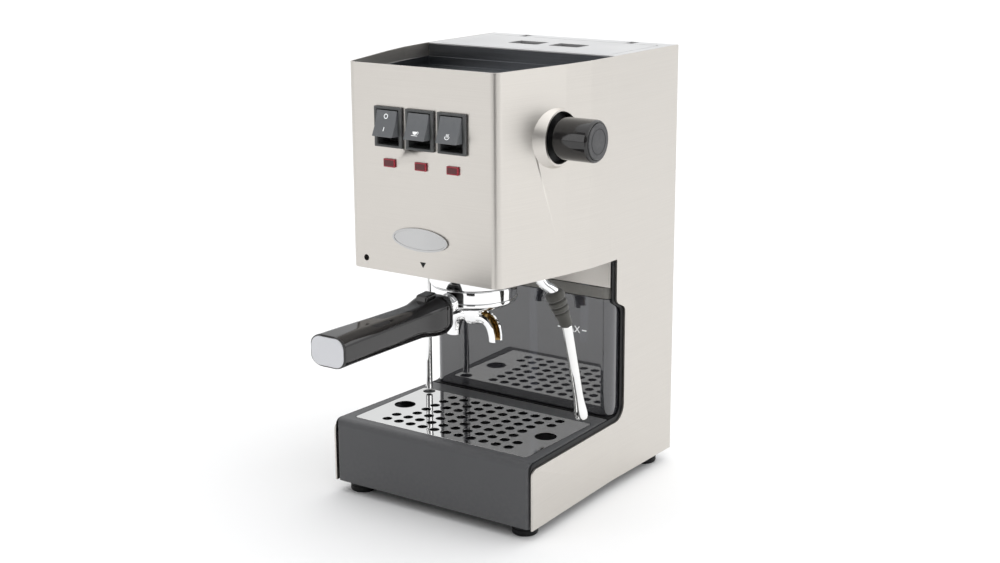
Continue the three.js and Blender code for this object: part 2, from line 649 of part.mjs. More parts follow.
function makeGrille() {
  const pitch = { x: 12.8, y: 12.9 };
  const rows = [
    { count: 11, shift: 0 }, { count: 11, shift: 0 }, { count: 9, shift: 0 }, { count: 9, shift: 0 },
    { count: 9, shift: 0 }, { count: 10, shift: pitch.x / 2 }, { count: 10, shift: pitch.x / 2 },
  ];
  const hole = (x, y, radius, sides) => post(radius, [x, y], [60, 70], sides);
  const perforation = rows.flatMap(({ count, shift }, row) => (
    Array.from({ length: count }, (_, k) => (
      hole((k - (count - 1) / 2) * pitch.x + shift, 67 + (row - 3) * pitch.y, 4.3, 8)
    ))
  ));
  const fingers = [hole(75, 67, 9.4, 20), hole(-75, 67, 9.4, 20), hole(drainX, drainY, 5.6, 12)];
  const plate = roundedBlock(
    [-grille.halfWidth, grille.halfWidth], [grille.front, grille.rear], [trayTop - grille.thickness, trayTop], 2,
  );
  add('drip_grille', 'polished', cut(plate, ...perforation, ...fingers));
}

const tank = { halfWidth: 94, front: 137.4, rear: 231, bottom: deckTop + 0.3, rim: 172.5, top: 182.5 };

function makeTank() {
  const { halfWidth, front, rear, bottom, rim, top } = tank;
  const plan = (inset, low, high) => roundedBlock(
    [-halfWidth + inset, halfWidth - inset], [front + inset, rear - inset], [low, high], 9 - inset,
  );
  add('water_tank', 'smoke', cut(plan(0, bottom, rim), plan(2.4, bottom + 3, rim + 1)));
  add('tank_rim', 'greyPlastic', cut(plan(-0.4, rim + 0.3, top), plan(3, rim - 1, top + 1)));
}

makeHousing();
makeLiners();
makeFloors();
makeRearPanel();
makeTop();
makeFillFunnel();
makeSwitches();
makeBadge();
makeBoiler();
makeHydraulics();
makeSteamKnob();
makeSteamWand();
makePortafilter();
makeBase();
makeDripTray();
makeGrille();
makeTank();

// ---------------------------------------------------------------- origin under the middle

const bounds = new THREE.Box3().setFromObject(machine);
const middle = bounds.getCenter(new THREE.Vector3());
machine.position.set(-middle.x, -middle.y, -bounds.min.z);

const espressoMachine = new THREE.Group();
espressoMachine.add(machine);

export default espressoMachine;
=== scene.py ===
"""Espresso machine: the looks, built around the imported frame.

Every piece is modelled in millimetres in the maker's own axes (x to the right, y to the rear from the
front face of the head, z up from the floor) and is moved into the frame when it is placed.
"""

import json
import logging
from dataclasses import dataclass, field
from enum import Enum
from math import cos, pi, radians, sin

import bmesh
import bpy
from mathutils import Matrix, Vector

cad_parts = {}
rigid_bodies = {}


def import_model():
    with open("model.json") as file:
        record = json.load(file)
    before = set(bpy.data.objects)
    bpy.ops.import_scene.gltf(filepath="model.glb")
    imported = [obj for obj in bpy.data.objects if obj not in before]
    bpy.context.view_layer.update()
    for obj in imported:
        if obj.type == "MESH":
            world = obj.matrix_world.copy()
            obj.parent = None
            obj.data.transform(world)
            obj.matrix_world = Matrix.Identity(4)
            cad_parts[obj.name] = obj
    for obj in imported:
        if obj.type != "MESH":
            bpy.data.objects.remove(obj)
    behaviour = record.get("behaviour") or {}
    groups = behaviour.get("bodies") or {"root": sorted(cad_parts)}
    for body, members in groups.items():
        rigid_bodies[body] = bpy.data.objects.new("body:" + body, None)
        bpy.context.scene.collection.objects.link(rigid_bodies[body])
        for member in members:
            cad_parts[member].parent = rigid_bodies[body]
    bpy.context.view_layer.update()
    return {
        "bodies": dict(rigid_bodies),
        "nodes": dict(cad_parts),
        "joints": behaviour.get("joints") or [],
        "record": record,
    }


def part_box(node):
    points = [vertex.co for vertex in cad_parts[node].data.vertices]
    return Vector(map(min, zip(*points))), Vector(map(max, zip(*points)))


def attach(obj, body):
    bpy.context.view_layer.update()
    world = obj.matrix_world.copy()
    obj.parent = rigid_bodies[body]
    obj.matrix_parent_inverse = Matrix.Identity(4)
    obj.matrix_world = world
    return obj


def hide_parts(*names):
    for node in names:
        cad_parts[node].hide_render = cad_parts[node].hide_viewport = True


log = logging.getLogger("espresso_machine")

MILLIMETRE = 0.001
DATUM_NODE = "housing"
SMOOTH_COSINE = cos(radians(38))
MERGE_DISTANCE = 0.002
MIDDLE_ROW = 3  # of the grille's rows of holes, counted from 0
HOLE_SIDES = 28
LIGHT_SMEAR = 0.03  # how much a smear dulls brushed steel and clear plastic
SAME_PLANE_COSINE = 0.9999
SAME_PLANE_GAP = 0.05  # millimetres
FLAT_AREA = 1200.0  # a face larger than this many square millimetres is flat up to its edges
FLAT_ANGLE = radians(0.5)

Point = tuple[float, float, float]
Corner = tuple[float, float]
Colour = tuple[float, float, float]


class Slot(Enum):
    """Material slots of the record."""

    STEEL = "brushed_steel"
    POLISHED = "polished_steel"
    CHROME = "chrome"
    BLACK = "black_plastic"
    CHARCOAL = "charcoal_plastic"
    GREY = "grey_plastic"
    SMOKE = "smoke_plastic"
    LENS = "red_lens"
    RUBBER = "rubber"
    SILICONE = "silicone"
    ALUMINIUM = "aluminium"
    BRASS = "brass"


class Axis(Enum):
    """Direction that a turned piece or a prism points along."""

    X = 0
    Y = 1
    Z = 2


# ---------------------------------------------------------------- shader effects shared by the finishes


def new_group(name: str, inputs: dict[str, float], outputs: dict[str, str]) -> bpy.types.NodeTree:
    """Starts a shader node group with named sockets.

    Args:
        name: Name of the group.
        inputs: Float inputs and their usual values.
        outputs: Output names and their socket types.

    Returns:
        The group's tree, with its input and output nodes in place.
    """
    tree = bpy.data.node_groups.new(name, "ShaderNodeTree")
    for label, value in inputs.items():
        socket = tree.interface.new_socket(label, in_out="INPUT", socket_type="NodeSocketFloat")
        socket.default_value = value
    for label, kind in outputs.items():
        tree.interface.new_socket(label, in_out="OUTPUT", socket_type=kind)
    tree.nodes.new("NodeGroupInput").name = "inlet"
    tree.nodes.new("NodeGroupOutput").name = "outlet"
    return tree


def math_node(tree: bpy.types.NodeTree, operation: str, first, second) -> bpy.types.NodeSocket:
    """Adds a Math node to a tree.

    Args:
        tree: Tree to add to.
        operation: Name of the operation.
        first: A socket or a number.
        second: A socket or a number.

    Returns:
        The node's output.
    """
    node = tree.nodes.new("ShaderNodeMath")
    node.operation = operation
    for place, value in enumerate((first, second)):
        if isinstance(value, bpy.types.NodeSocket):
            tree.links.new(value, node.inputs[place])
        else:
            node.inputs[place].default_value = value
    return node.outputs[0]


def noise_node(tree: bpy.types.NodeTree, vector, scale, detail: float) -> bpy.types.NodeSocket:
    """Adds a noise texture and returns its factor, with its scale from a socket or a number."""
    node = tree.nodes.new("ShaderNodeTexNoise")
    node.inputs["Detail"].default_value = detail
    tree.links.new(vector, node.inputs["Vector"])
    if isinstance(scale, bpy.types.NodeSocket):
        tree.links.new(scale, node.inputs["Scale"])
    else:
        node.inputs["Scale"].default_value = scale
    return node.outputs["Fac"]


def spread_node(tree: bpy.types.NodeTree, value, low: float, high: float) -> bpy.types.NodeSocket:
    """Adds a Map Range node that stretches low..high to 0..1, clamped, and returns its result."""
    node = tree.nodes.new("ShaderNodeMapRange")
    node.inputs["From Min"].default_value = low
    node.inputs["From Max"].default_value = high
    tree.links.new(value, node.inputs["Value"])
    return node.outputs["Result"]


def make_brush_lines() -> bpy.types.NodeTree:
    """Makes the effect of fine level brushing: long streaks, and broad soft bands behind them."""
    tree = new_group(
        "brush_lines",
        {"Lines": 2600.0, "Length": 14.0},
        {"Streaks": "NodeSocketFloat", "Bands": "NodeSocketFloat"},
    )
    inlet, outlet = tree.nodes["inlet"], tree.nodes["outlet"]
    place = tree.nodes.new("ShaderNodeTexCoord").outputs["Object"]
    split = tree.nodes.new("ShaderNodeSeparateXYZ")
    tree.links.new(place, split.inputs[0])
    joined = tree.nodes.new("ShaderNodeCombineXYZ")
    tree.links.new(math_node(tree, "MULTIPLY", split.outputs[0], inlet.outputs["Length"]), joined.inputs[0])
    tree.links.new(math_node(tree, "MULTIPLY", split.outputs[1], inlet.outputs["Length"]), joined.inputs[1])
    tree.links.new(math_node(tree, "MULTIPLY", split.outputs[2], inlet.outputs["Lines"]), joined.inputs[2])
    streaks = noise_node(tree, joined.outputs[0], 1.0, 3.0)
    tree.links.new(spread_node(tree, streaks, 0.3, 0.7), outlet.inputs["Streaks"])
    bands = noise_node(tree, place, 7.0, 1.0)
    tree.links.new(spread_node(tree, bands, 0.3, 0.7), outlet.inputs["Bands"])
    return tree


def make_moulded_grain() -> bpy.types.NodeTree:
    """Makes the effect of a moulded surface: fine pips, and a slow unevenness of the wall."""
    tree = new_group(
        "moulded_grain",
        {"Pips": 2400.0, "Slow": 60.0},
        {"Height": "NodeSocketFloat", "Unevenness": "NodeSocketFloat"},
    )
    inlet, outlet = tree.nodes["inlet"], tree.nodes["outlet"]
    place = tree.nodes.new("ShaderNodeTexCoord").outputs["Object"]
    tree.links.new(noise_node(tree, place, inlet.outputs["Pips"], 2.0), outlet.inputs["Height"])
    tree.links.new(noise_node(tree, place, inlet.outputs["Slow"], 2.0), outlet.inputs["Unevenness"])
    return tree


def make_handling() -> bpy.types.NodeTree:
    """Makes the effect of handling: broad faint smears that dull a polish in places."""
    tree = new_group("handling", {"Size": 22.0}, {"Smears": "NodeSocketFloat"})
    inlet, outlet = tree.nodes["inlet"], tree.nodes["outlet"]
    place = tree.nodes.new("ShaderNodeTexCoord").outputs["Object"]
    broad = noise_node(tree, place, inlet.outputs["Size"], 3.0)
    tree.links.new(spread_node(tree, broad, 0.45, 0.75), outlet.inputs["Smears"])
    return tree


def make_edge_wear() -> bpy.types.NodeTree:
    """Makes the effect of wear: convex edges rubbed a little lighter, broken up by noise."""
    tree = new_group("edge_wear", {"Break": 300.0}, {"Wear": "NodeSocketFloat"})
    inlet, outlet = tree.nodes["inlet"], tree.nodes["outlet"]
    place = tree.nodes.new("ShaderNodeTexCoord").outputs["Object"]
    edge = spread_node(tree, tree.nodes.new("ShaderNodeNewGeometry").outputs["Pointiness"], 0.52, 0.6)
    broken = spread_node(tree, noise_node(tree, place, inlet.outputs["Break"], 2.0), 0.3, 0.7)
    tree.links.new(math_node(tree, "MULTIPLY", edge, broken), outlet.inputs["Wear"])
    return tree


class Effects:
    """The shader node groups, each built once, when the effects are made."""

    def __init__(self) -> None:
        """Makes every effect."""
        self.brush_lines = make_brush_lines()
        self.moulded_grain = make_moulded_grain()
        self.handling = make_handling()
        self.edge_wear = make_edge_wear()


# ---------------------------------------------------------------- finishes


def start_material(name: str) -> tuple[bpy.types.Material, bpy.types.NodeTree, bpy.types.ShaderNode]:
    """Makes a material that holds a Principled shader, and returns it with its tree and shader."""
    material = bpy.data.materials.new(name)
    material.use_nodes = True
    tree = material.node_tree
    return material, tree, tree.nodes["Principled BSDF"]


def place_effect(
    tree: bpy.types.NodeTree, group: bpy.types.NodeTree, **values: float
) -> bpy.types.ShaderNode:
    """Puts an effect in a material with its own values, and returns the node."""
    node = tree.nodes.new("ShaderNodeGroup")
    node.node_tree = group
    for label, value in values.items():
        node.inputs[label].default_value = value
    return node


def mix_colours(tree: bpy.types.NodeTree, mask, low: Colour, high: Colour) -> bpy.types.NodeSocket:
    """Mixes two colours by a mask, and returns the colour."""
    node = tree.nodes.new("ShaderNodeMix")
    node.data_type = "RGBA"
    node.inputs[6].default_value = (*low, 1.0)
    node.inputs[7].default_value = (*high, 1.0)
    tree.links.new(mask, node.inputs[0])
    return node.outputs[2]


def lift_by(tree: bpy.types.NodeTree, mask, base: float, gain: float) -> bpy.types.NodeSocket:
    """Returns base + gain x mask."""
    return math_node(tree, "ADD", math_node(tree, "MULTIPLY", mask, gain), base)


def add_bump(tree: bpy.types.NodeTree, shader: bpy.types.ShaderNode, height, depth: float) -> None:
    """Feeds a height into the shader's normal through a Bump node.

    Args:
        tree: Tree of the material.
        shader: Its Principled shader.
        height: Height socket, 0..1.
        depth: Depth of the relief, in metres.
    """
    bump = tree.nodes.new("ShaderNodeBump")
    bump.inputs["Strength"].default_value = 1.0
    bump.inputs["Distance"].default_value = depth
    tree.links.new(height, bump.inputs["Height"])
    tree.links.new(bump.outputs["Normal"], shader.inputs["Normal"])


@dataclass(frozen=True)
class BrushedFinish:
    """Brushed sheet: level streaks in its colour, gloss and relief."""

    name: str
    dark: Colour
    light: Colour
    roughness: float
    roughness_gain: float = 0.06
    depth: float = 0.0000012
    lines: float = 4200.0

    def make(self, effects: Effects) -> bpy.types.Material:
        """Builds the material."""
        material, tree, shader = start_material(self.name)
        lines = place_effect(tree, effects.brush_lines, Lines=self.lines)
        smears = place_effect(tree, effects.handling, Size=9.0)
        tint = mix_colours(tree, lines.outputs["Streaks"], self.dark, self.light)
        tree.links.new(tint, shader.inputs["Base Color"])
        gloss = lift_by(tree, lines.outputs["Streaks"], self.roughness, self.roughness_gain)
        dulling = math_node(tree, "MULTIPLY", smears.outputs["Smears"], LIGHT_SMEAR)
        dulled = math_node(tree, "ADD", gloss, dulling)
        tree.links.new(dulled, shader.inputs["Roughness"])
        shader.inputs["Metallic"].default_value = 1.0
        add_bump(tree, shader, lines.outputs["Streaks"], self.depth)
        return material


@dataclass(frozen=True)
class PolishedFinish:
    """Polished or plated metal: clear reflections, dulled in smears, rubbed at its edges."""

    name: str
    colour: Colour
    roughness: float
    smear: float = 0.05
    depth: float = 0.00001

    def make(self, effects: Effects) -> bpy.types.Material:
        """Builds the material."""
        material, tree, shader = start_material(self.name)
        smears = place_effect(tree, effects.handling, Size=40.0)
        grain = place_effect(tree, effects.moulded_grain, Pips=900.0, Slow=35.0)
        worn = tuple(min(1.0, 1.04 * channel) for channel in self.colour)
        tint = mix_colours(tree, smears.outputs["Smears"], worn, self.colour)
        tree.links.new(tint, shader.inputs["Base Color"])
        gloss = lift_by(tree, smears.outputs["Smears"], self.roughness, self.smear)
        tree.links.new(gloss, shader.inputs["Roughness"])
        shader.inputs["Metallic"].default_value = 1.0
        add_bump(tree, shader, grain.outputs["Unevenness"], self.depth)
        return material


@dataclass(frozen=True)
class MouldedFinish:
    """Moulded plastic or rubber: grain in its relief, smears in its gloss, wear along its edges."""

    name: str
    colour: Colour
    worn: Colour
    roughness: float
    smear: float = 0.08
    pips: float = 2400.0
    depth: float = 0.00002
    coat: float = 0.0
    sheen: float = 0.0
    specular: float = 0.4

    def make(self, effects: Effects) -> bpy.types.Material:
        """Builds the material."""
        material, tree, shader = start_material(self.name)
        smears = place_effect(tree, effects.handling, Size=30.0)
        wear = place_effect(tree, effects.edge_wear)
        grain = place_effect(tree, effects.moulded_grain, Pips=self.pips, Slow=45.0)
        tint = mix_colours(tree, wear.outputs["Wear"], self.colour, self.worn)
        tree.links.new(tint, shader.inputs["Base Color"])
        gloss = lift_by(tree, smears.outputs["Smears"], self.roughness, self.smear)
        tree.links.new(gloss, shader.inputs["Roughness"])
        shader.inputs["Specular IOR Level"].default_value = self.specular
        shader.inputs["Coat Weight"].default_value = self.coat
        shader.inputs["Coat Roughness"].default_value = 0.04
        shader.inputs["Sheen Weight"].default_value = self.sheen
        add_bump(tree, shader, grain.outputs["Height"], self.depth)
        return material


@dataclass(frozen=True)
class ClearFinish:
    """Tinted see-through plastic or silicone."""

    name: str
    colour: Colour
    deep: Colour
    roughness: float
    transmission: float
    ior: float = 1.5
    coat: float = 0.0
    # glow is emission: on the print and the hoses it is painted light, on the lamp lenses it is lamp light.
    glow: float = 0.0

    def make(self, effects: Effects) -> bpy.types.Material:
        """Builds the material."""
        material, tree, shader = start_material(self.name)
        smears = place_effect(tree, effects.handling, Size=12.0)
        grain = place_effect(tree, effects.moulded_grain, Pips=500.0, Slow=14.0)
        tint = mix_colours(tree, grain.outputs["Unevenness"], self.colour, self.deep)
        tree.links.new(tint, shader.inputs["Base Color"])
        gloss = lift_by(tree, smears.outputs["Smears"], self.roughness, LIGHT_SMEAR)
        tree.links.new(gloss, shader.inputs["Roughness"])
        shader.inputs["Transmission Weight"].default_value = self.transmission
        shader.inputs["IOR"].default_value = self.ior
        shader.inputs["Coat Weight"].default_value = self.coat
        shader.inputs["Coat Roughness"].default_value = 0.02
        shader.inputs["Coat IOR"].default_value = 1.7
        shader.inputs["Emission Color"].default_value = (*self.colour, 1.0)
        shader.inputs["Emission Strength"].default_value = self.glow
        return material


STEEL = BrushedFinish("brushed_steel", (0.595, 0.567, 0.53), (0.64, 0.612, 0.573), 0.30)
# Lighter, neutral copy of the brushed steel for the top frame and lid: painted light falling on the top.
STEEL_TOP_PAINTED_LIGHT = BrushedFinish("top_steel_painted_light", (0.70, 0.70, 0.70), (0.76, 0.76, 0.76), 0.30, lines=1500.0)
# Darkened copy of the brushed steel for the head's underside: painted shade under the head.
UNDERSIDE_STEEL_PAINTED_SHADE = BrushedFinish("underside_steel_painted_shade", (0.30, 0.31, 0.32), (0.40, 0.41, 0.42), 0.38)
POLISHED = PolishedFinish("polished_steel", (0.83, 0.83, 0.82), 0.04)
CHROME = PolishedFinish("chrome_plate", (0.88, 0.88, 0.88), 0.03)
CAP_SILVER = PolishedFinish("cap_silver", (0.56, 0.565, 0.585), 0.34, smear=0.1)
ALUMINIUM = PolishedFinish("cast_aluminium", (0.60, 0.61, 0.62), 0.42, smear=0.12, depth=0.0001)
BRASS = PolishedFinish("brass_fittings", (0.58, 0.42, 0.20), 0.28)
GLOSS_BLACK = MouldedFinish(
    "gloss_black", (0.009, 0.008, 0.008), (0.03, 0.03, 0.03), 0.07, smear=0.04, depth=0.000002, specular=0.6,
)
SATIN_BLACK = MouldedFinish("satin_black", (0.006, 0.006, 0.007), (0.02, 0.02, 0.02), 0.42, specular=0.2)
CHARCOAL = MouldedFinish(
    "charcoal_satin", (0.080, 0.081, 0.085), (0.13, 0.13, 0.13), 0.34, depth=0.00003, specular=0.35,
)
SWITCH_BLACK = MouldedFinish(
    "switch_charcoal", (0.066, 0.069, 0.069), (0.13, 0.13, 0.13), 0.34, specular=0.4,
)
# Lighter copy of the switch plastic for the rocker keys: painted light on their tilted faces.
ROCKER_PAINTED_LIGHT = MouldedFinish("rocker_plastic_painted_light", (0.135, 0.142, 0.150), (0.21, 0.21, 0.21), 0.36, specular=0.45)
KNOB_FACE = MouldedFinish("knob_face", (0.040, 0.040, 0.043), (0.09, 0.09, 0.09), 0.34)
RIM_GREY = MouldedFinish("rim_grey", (0.195, 0.188, 0.172), (0.25, 0.24, 0.22), 0.30)
RUBBER = MouldedFinish(
    "grip_rubber", (0.050, 0.048, 0.041), (0.10, 0.10, 0.09), 0.62, pips=1400.0, depth=0.00005, sheen=0.3,
)
# White print, with a glow (emission) that is painted light: the print is no lamp.
PRINT_WHITE_PAINTED_GLOW = ClearFinish("print_white_painted_glow", (0.82, 0.83, 0.83), (0.86, 0.87, 0.87), 0.5, 0.0, glow=0.35)
SPOUT_GOLD = PolishedFinish("spout_inside", (0.30, 0.20, 0.08), 0.16)
# Darkened copy of the brushed steel for the cup recess: painted shade inside the recess.
RECESS_STEEL_PAINTED_SHADE = BrushedFinish("recess_steel_painted_shade", (0.13, 0.135, 0.145), (0.19, 0.20, 0.215), 0.26, depth=0.000003)
BADGE_STEEL = PolishedFinish("badge_satin", (0.50, 0.50, 0.50), 0.30)
SMOKE = ClearFinish("smoke_tank", (0.10, 0.10, 0.115), (0.08, 0.08, 0.09), 0.03, 0.62, coat=1.0)
# Milky hose silicone, with a glow (emission) that is painted light: the hoses are no lamps.
SILICONE = ClearFinish("milky_silicone_painted_glow", (0.66, 0.72, 0.80), (0.58, 0.65, 0.74), 0.22, 0.10, glow=0.45)
LENS = ClearFinish("red_lens", (0.10, 0.004, 0.007), (0.07, 0.003, 0.005), 0.16, 0.0, glow=0.10)
LENS_EDGE = ClearFinish("red_lens_edge", (0.34, 0.010, 0.028), (0.28, 0.008, 0.022), 0.20, 0.0, glow=0.10)

SLOT_FINISHES = {
    Slot.STEEL: STEEL,
    Slot.POLISHED: POLISHED,
    Slot.CHROME: CHROME,
    Slot.BLACK: SATIN_BLACK,
    Slot.CHARCOAL: CHARCOAL,
    Slot.GREY: RIM_GREY,
    Slot.SMOKE: SMOKE,
    Slot.LENS: LENS,
    Slot.RUBBER: RUBBER,
    Slot.SILICONE: SILICONE,
    Slot.ALUMINIUM: ALUMINIUM,
    Slot.BRASS: BRASS,
}


# ---------------------------------------------------------------- shaping


def turned(
    profile: list[Corner], steps: int = 96, axis: Axis = Axis.Z, at: Point = (0.0, 0.0, 0.0)
) -> bmesh.types.BMesh:
    """Spins a profile into a closed round piece.

    Args:
        profile: Points (radius, distance along the axis). An open profile that starts and ends on the
            axis gives a solid; a closed one, whose last point repeats the first, gives a ring.
        steps: Number of steps of the full turn.
        axis: Direction of the piece.
        at: Where distance 0 on the axis lies.

    Returns:
        The mesh, with its faces outwards.
    """
    shape = bmesh.new()
    closed = profile[0] == profile[-1]
    points = profile[:-1] if closed else profile
    verts = [shape.verts.new((radius, 0.0, along)) for radius, along in points]
    edges = [shape.edges.new(pair) for pair in zip(verts, verts[1:])]
    if closed:
        edges.append(shape.edges.new((verts[-1], verts[0])))
    bmesh.ops.spin(
        shape, geom=verts + edges, axis=(0, 0, 1), cent=(0, 0, 0), angle=2 * pi, steps=steps, use_merge=True
    )
    bmesh.ops.remove_doubles(shape, verts=shape.verts, dist=0.0005)
    turn = {
        Axis.X: Matrix.Rotation(pi / 2, 4, "Y"),
        Axis.Y: Matrix.Rotation(-pi / 2, 4, "X"),
        Axis.Z: Matrix.Identity(4),
    }[axis]
    bmesh.ops.transform(shape, matrix=Matrix.Translation(at) @ turn, verts=shape.verts)
    bmesh.ops.recalc_face_normals(shape, faces=shape.faces)
    return shape


def soften(shape: bmesh.types.BMesh, width: float, segments: int = 2, angle: float = radians(25)) -> None:
    """Rounds every edge that is sharper than an angle.

    Args:
        shape: Mesh to work on.
        width: Width of the rounding, in millimetres.
        segments: Facets across the rounding.
        angle: Smallest angle between two faces whose edge is rounded.
    """
    sharp = [edge for edge in shape.edges if len(edge.link_faces) == 2 and edge.calc_face_angle() > angle]
    bmesh.ops.bevel(
        shape, geom=sharp, offset=width, offset_type="OFFSET", segments=segments, profile=0.5,
        affect="EDGES", clamp_overlap=True, material=-1,
    )


def swept(path: list[Point], radii: list[float], sides: int = 32) -> bmesh.types.BMesh:
    """Makes a round piece of changing radius along a path.

    Args:
        path: Points of its middle line.
        radii: Its radius at each point.
        sides: Facets round the piece.

    Returns:
        The mesh, closed at both ends.
    """
    shape = bmesh.new()
    points = [Vector(point) for point in path]
    rings = []
    for place, (point, radius) in enumerate(zip(points, radii)):
        before = points[max(place - 1, 0)]
        after = points[min(place + 1, len(points) - 1)]
        turn = (after - before).to_track_quat("Z", "Y").to_matrix().to_4x4()
        made = bmesh.ops.create_circle(
            shape, cap_ends=False, radius=radius, segments=sides, matrix=Matrix.Translation(point) @ turn
        )
        rings.append(list({edge for vert in made["verts"] for edge in vert.link_edges}))
    for ring, following in zip(rings, rings[1:]):
        bmesh.ops.bridge_loops(shape, edges=ring + following)
    bmesh.ops.holes_fill(shape, edges=[edge for edge in shape.edges if edge.is_boundary], sides=0)
    bmesh.ops.recalc_face_normals(shape, faces=shape.faces)
    return shape


def smooth_path(points: list[Point], count: int) -> list[Point]:
    """Returns a smooth curve through some points, as `count` steps between each pair."""
    ends = [points[0], *points, points[-1]]
    curve = []
    for place in range(len(points) - 1):
        p0, p1, p2, p3 = (Vector(ends[place + k]) for k in range(4))
        for step in range(count):
            t = step / count
            curve.append(tuple(
                0.5 * (2 * p1 + (p2 - p0) * t + (2 * p0 - 5 * p1 + 4 * p2 - p3) * t ** 2
                       + (3 * p1 - p0 - 3 * p2 + p3) * t ** 3)
            ))
    return [*curve, points[-1]]


def prism(corners: list[Corner], low: float, high: float, axis: Axis = Axis.Z) -> bmesh.types.BMesh:
    """Extrudes a flat outline.

    Args:
        corners: Outline, as (x, y) along Z, (y, z) along X, or (x, z) along Y.
        low: Where the piece starts on the axis.
        high: Where it ends.
        axis: Direction of the extrusion.

    Returns:
        The closed mesh.
    """
    shape = bmesh.new()
    lift = {
        Axis.X: lambda a, b: (low, a, b),
        Axis.Y: lambda a, b: (a, low, b),
        Axis.Z: lambda a, b: (a, b, low),
    }[axis]
    face = shape.faces.new([shape.verts.new(lift(*corner)) for corner in corners])
    made = bmesh.ops.extrude_face_region(shape, geom=[face])
    step = Vector([high - low if axis.value == place else 0.0 for place in range(3)])
    moved = [item for item in made["geom"] if isinstance(item, bmesh.types.BMVert)]
    bmesh.ops.translate(shape, verts=moved, vec=step)
    bmesh.ops.recalc_face_normals(shape, faces=shape.faces)
    return shape


def rounded_loop(
    half_width: float, half_height: float, radius: float, segments: int = 6
) -> bmesh.types.BMesh:
    """Makes one flat face, a rectangle with round corners, in the plane of x and z."""
    shape = bmesh.new()
    turn = Matrix.Rotation(pi / 2, 4, "X") @ Matrix.Diagonal((half_width, half_height, 1.0, 1.0))
    bmesh.ops.create_grid(shape, x_segments=1, y_segments=1, size=1.0, matrix=turn)
    bmesh.ops.bevel(
        shape, geom=shape.verts[:], offset=radius, offset_type="OFFSET", segments=segments, profile=0.5,
        affect="VERTICES", clamp_overlap=True, material=-1,
    )
    return shape


def even_normals(shape: bmesh.types.BMesh) -> list[Vector]:
    """Works out a normal for each corner of each face, led by the largest faces round it.

    Args:
        shape: The mesh, in millimetres.

    Returns:
        One normal for each corner, in the order of the faces.
    """
    shape.normal_update()
    areas = {face: face.calc_area() for face in shape.faces}
    sheets = [
        (face.normal.copy(), face.calc_center_median(),
        area) for face, area in areas.items() if area > FLAT_AREA
    ]
    for face in shape.faces:
        for normal, middle, area in sheets:
            off_plane = abs(normal.dot(face.calc_center_median() - middle))
            if normal.dot(face.normal) > SAME_PLANE_COSINE and off_plane < SAME_PLANE_GAP:
                areas[face] = max(area, areas[face])
    normals = []
    for face in shape.faces:
        for loop in face.loops:
            total = face.normal * (areas[face] + 1e-9)
            if areas[face] > FLAT_AREA:
                normals.append(face.normal.copy())
                continue
            for other in loop.vert.link_faces:
                if other is not face and other.normal.dot(face.normal) > SMOOTH_COSINE:
                    total = total + other.normal * areas[other]
            normals.append(total.normalized())
    return normals


def merge_into(target: bmesh.types.BMesh, extra: bmesh.types.BMesh) -> None:
    """Adds a second mesh to a first, and frees the second."""
    spare = bpy.data.meshes.new("spare")
    extra.to_mesh(spare)
    extra.free()
    target.from_mesh(spare)
    bpy.data.meshes.remove(spare)


# ---------------------------------------------------------------- bench


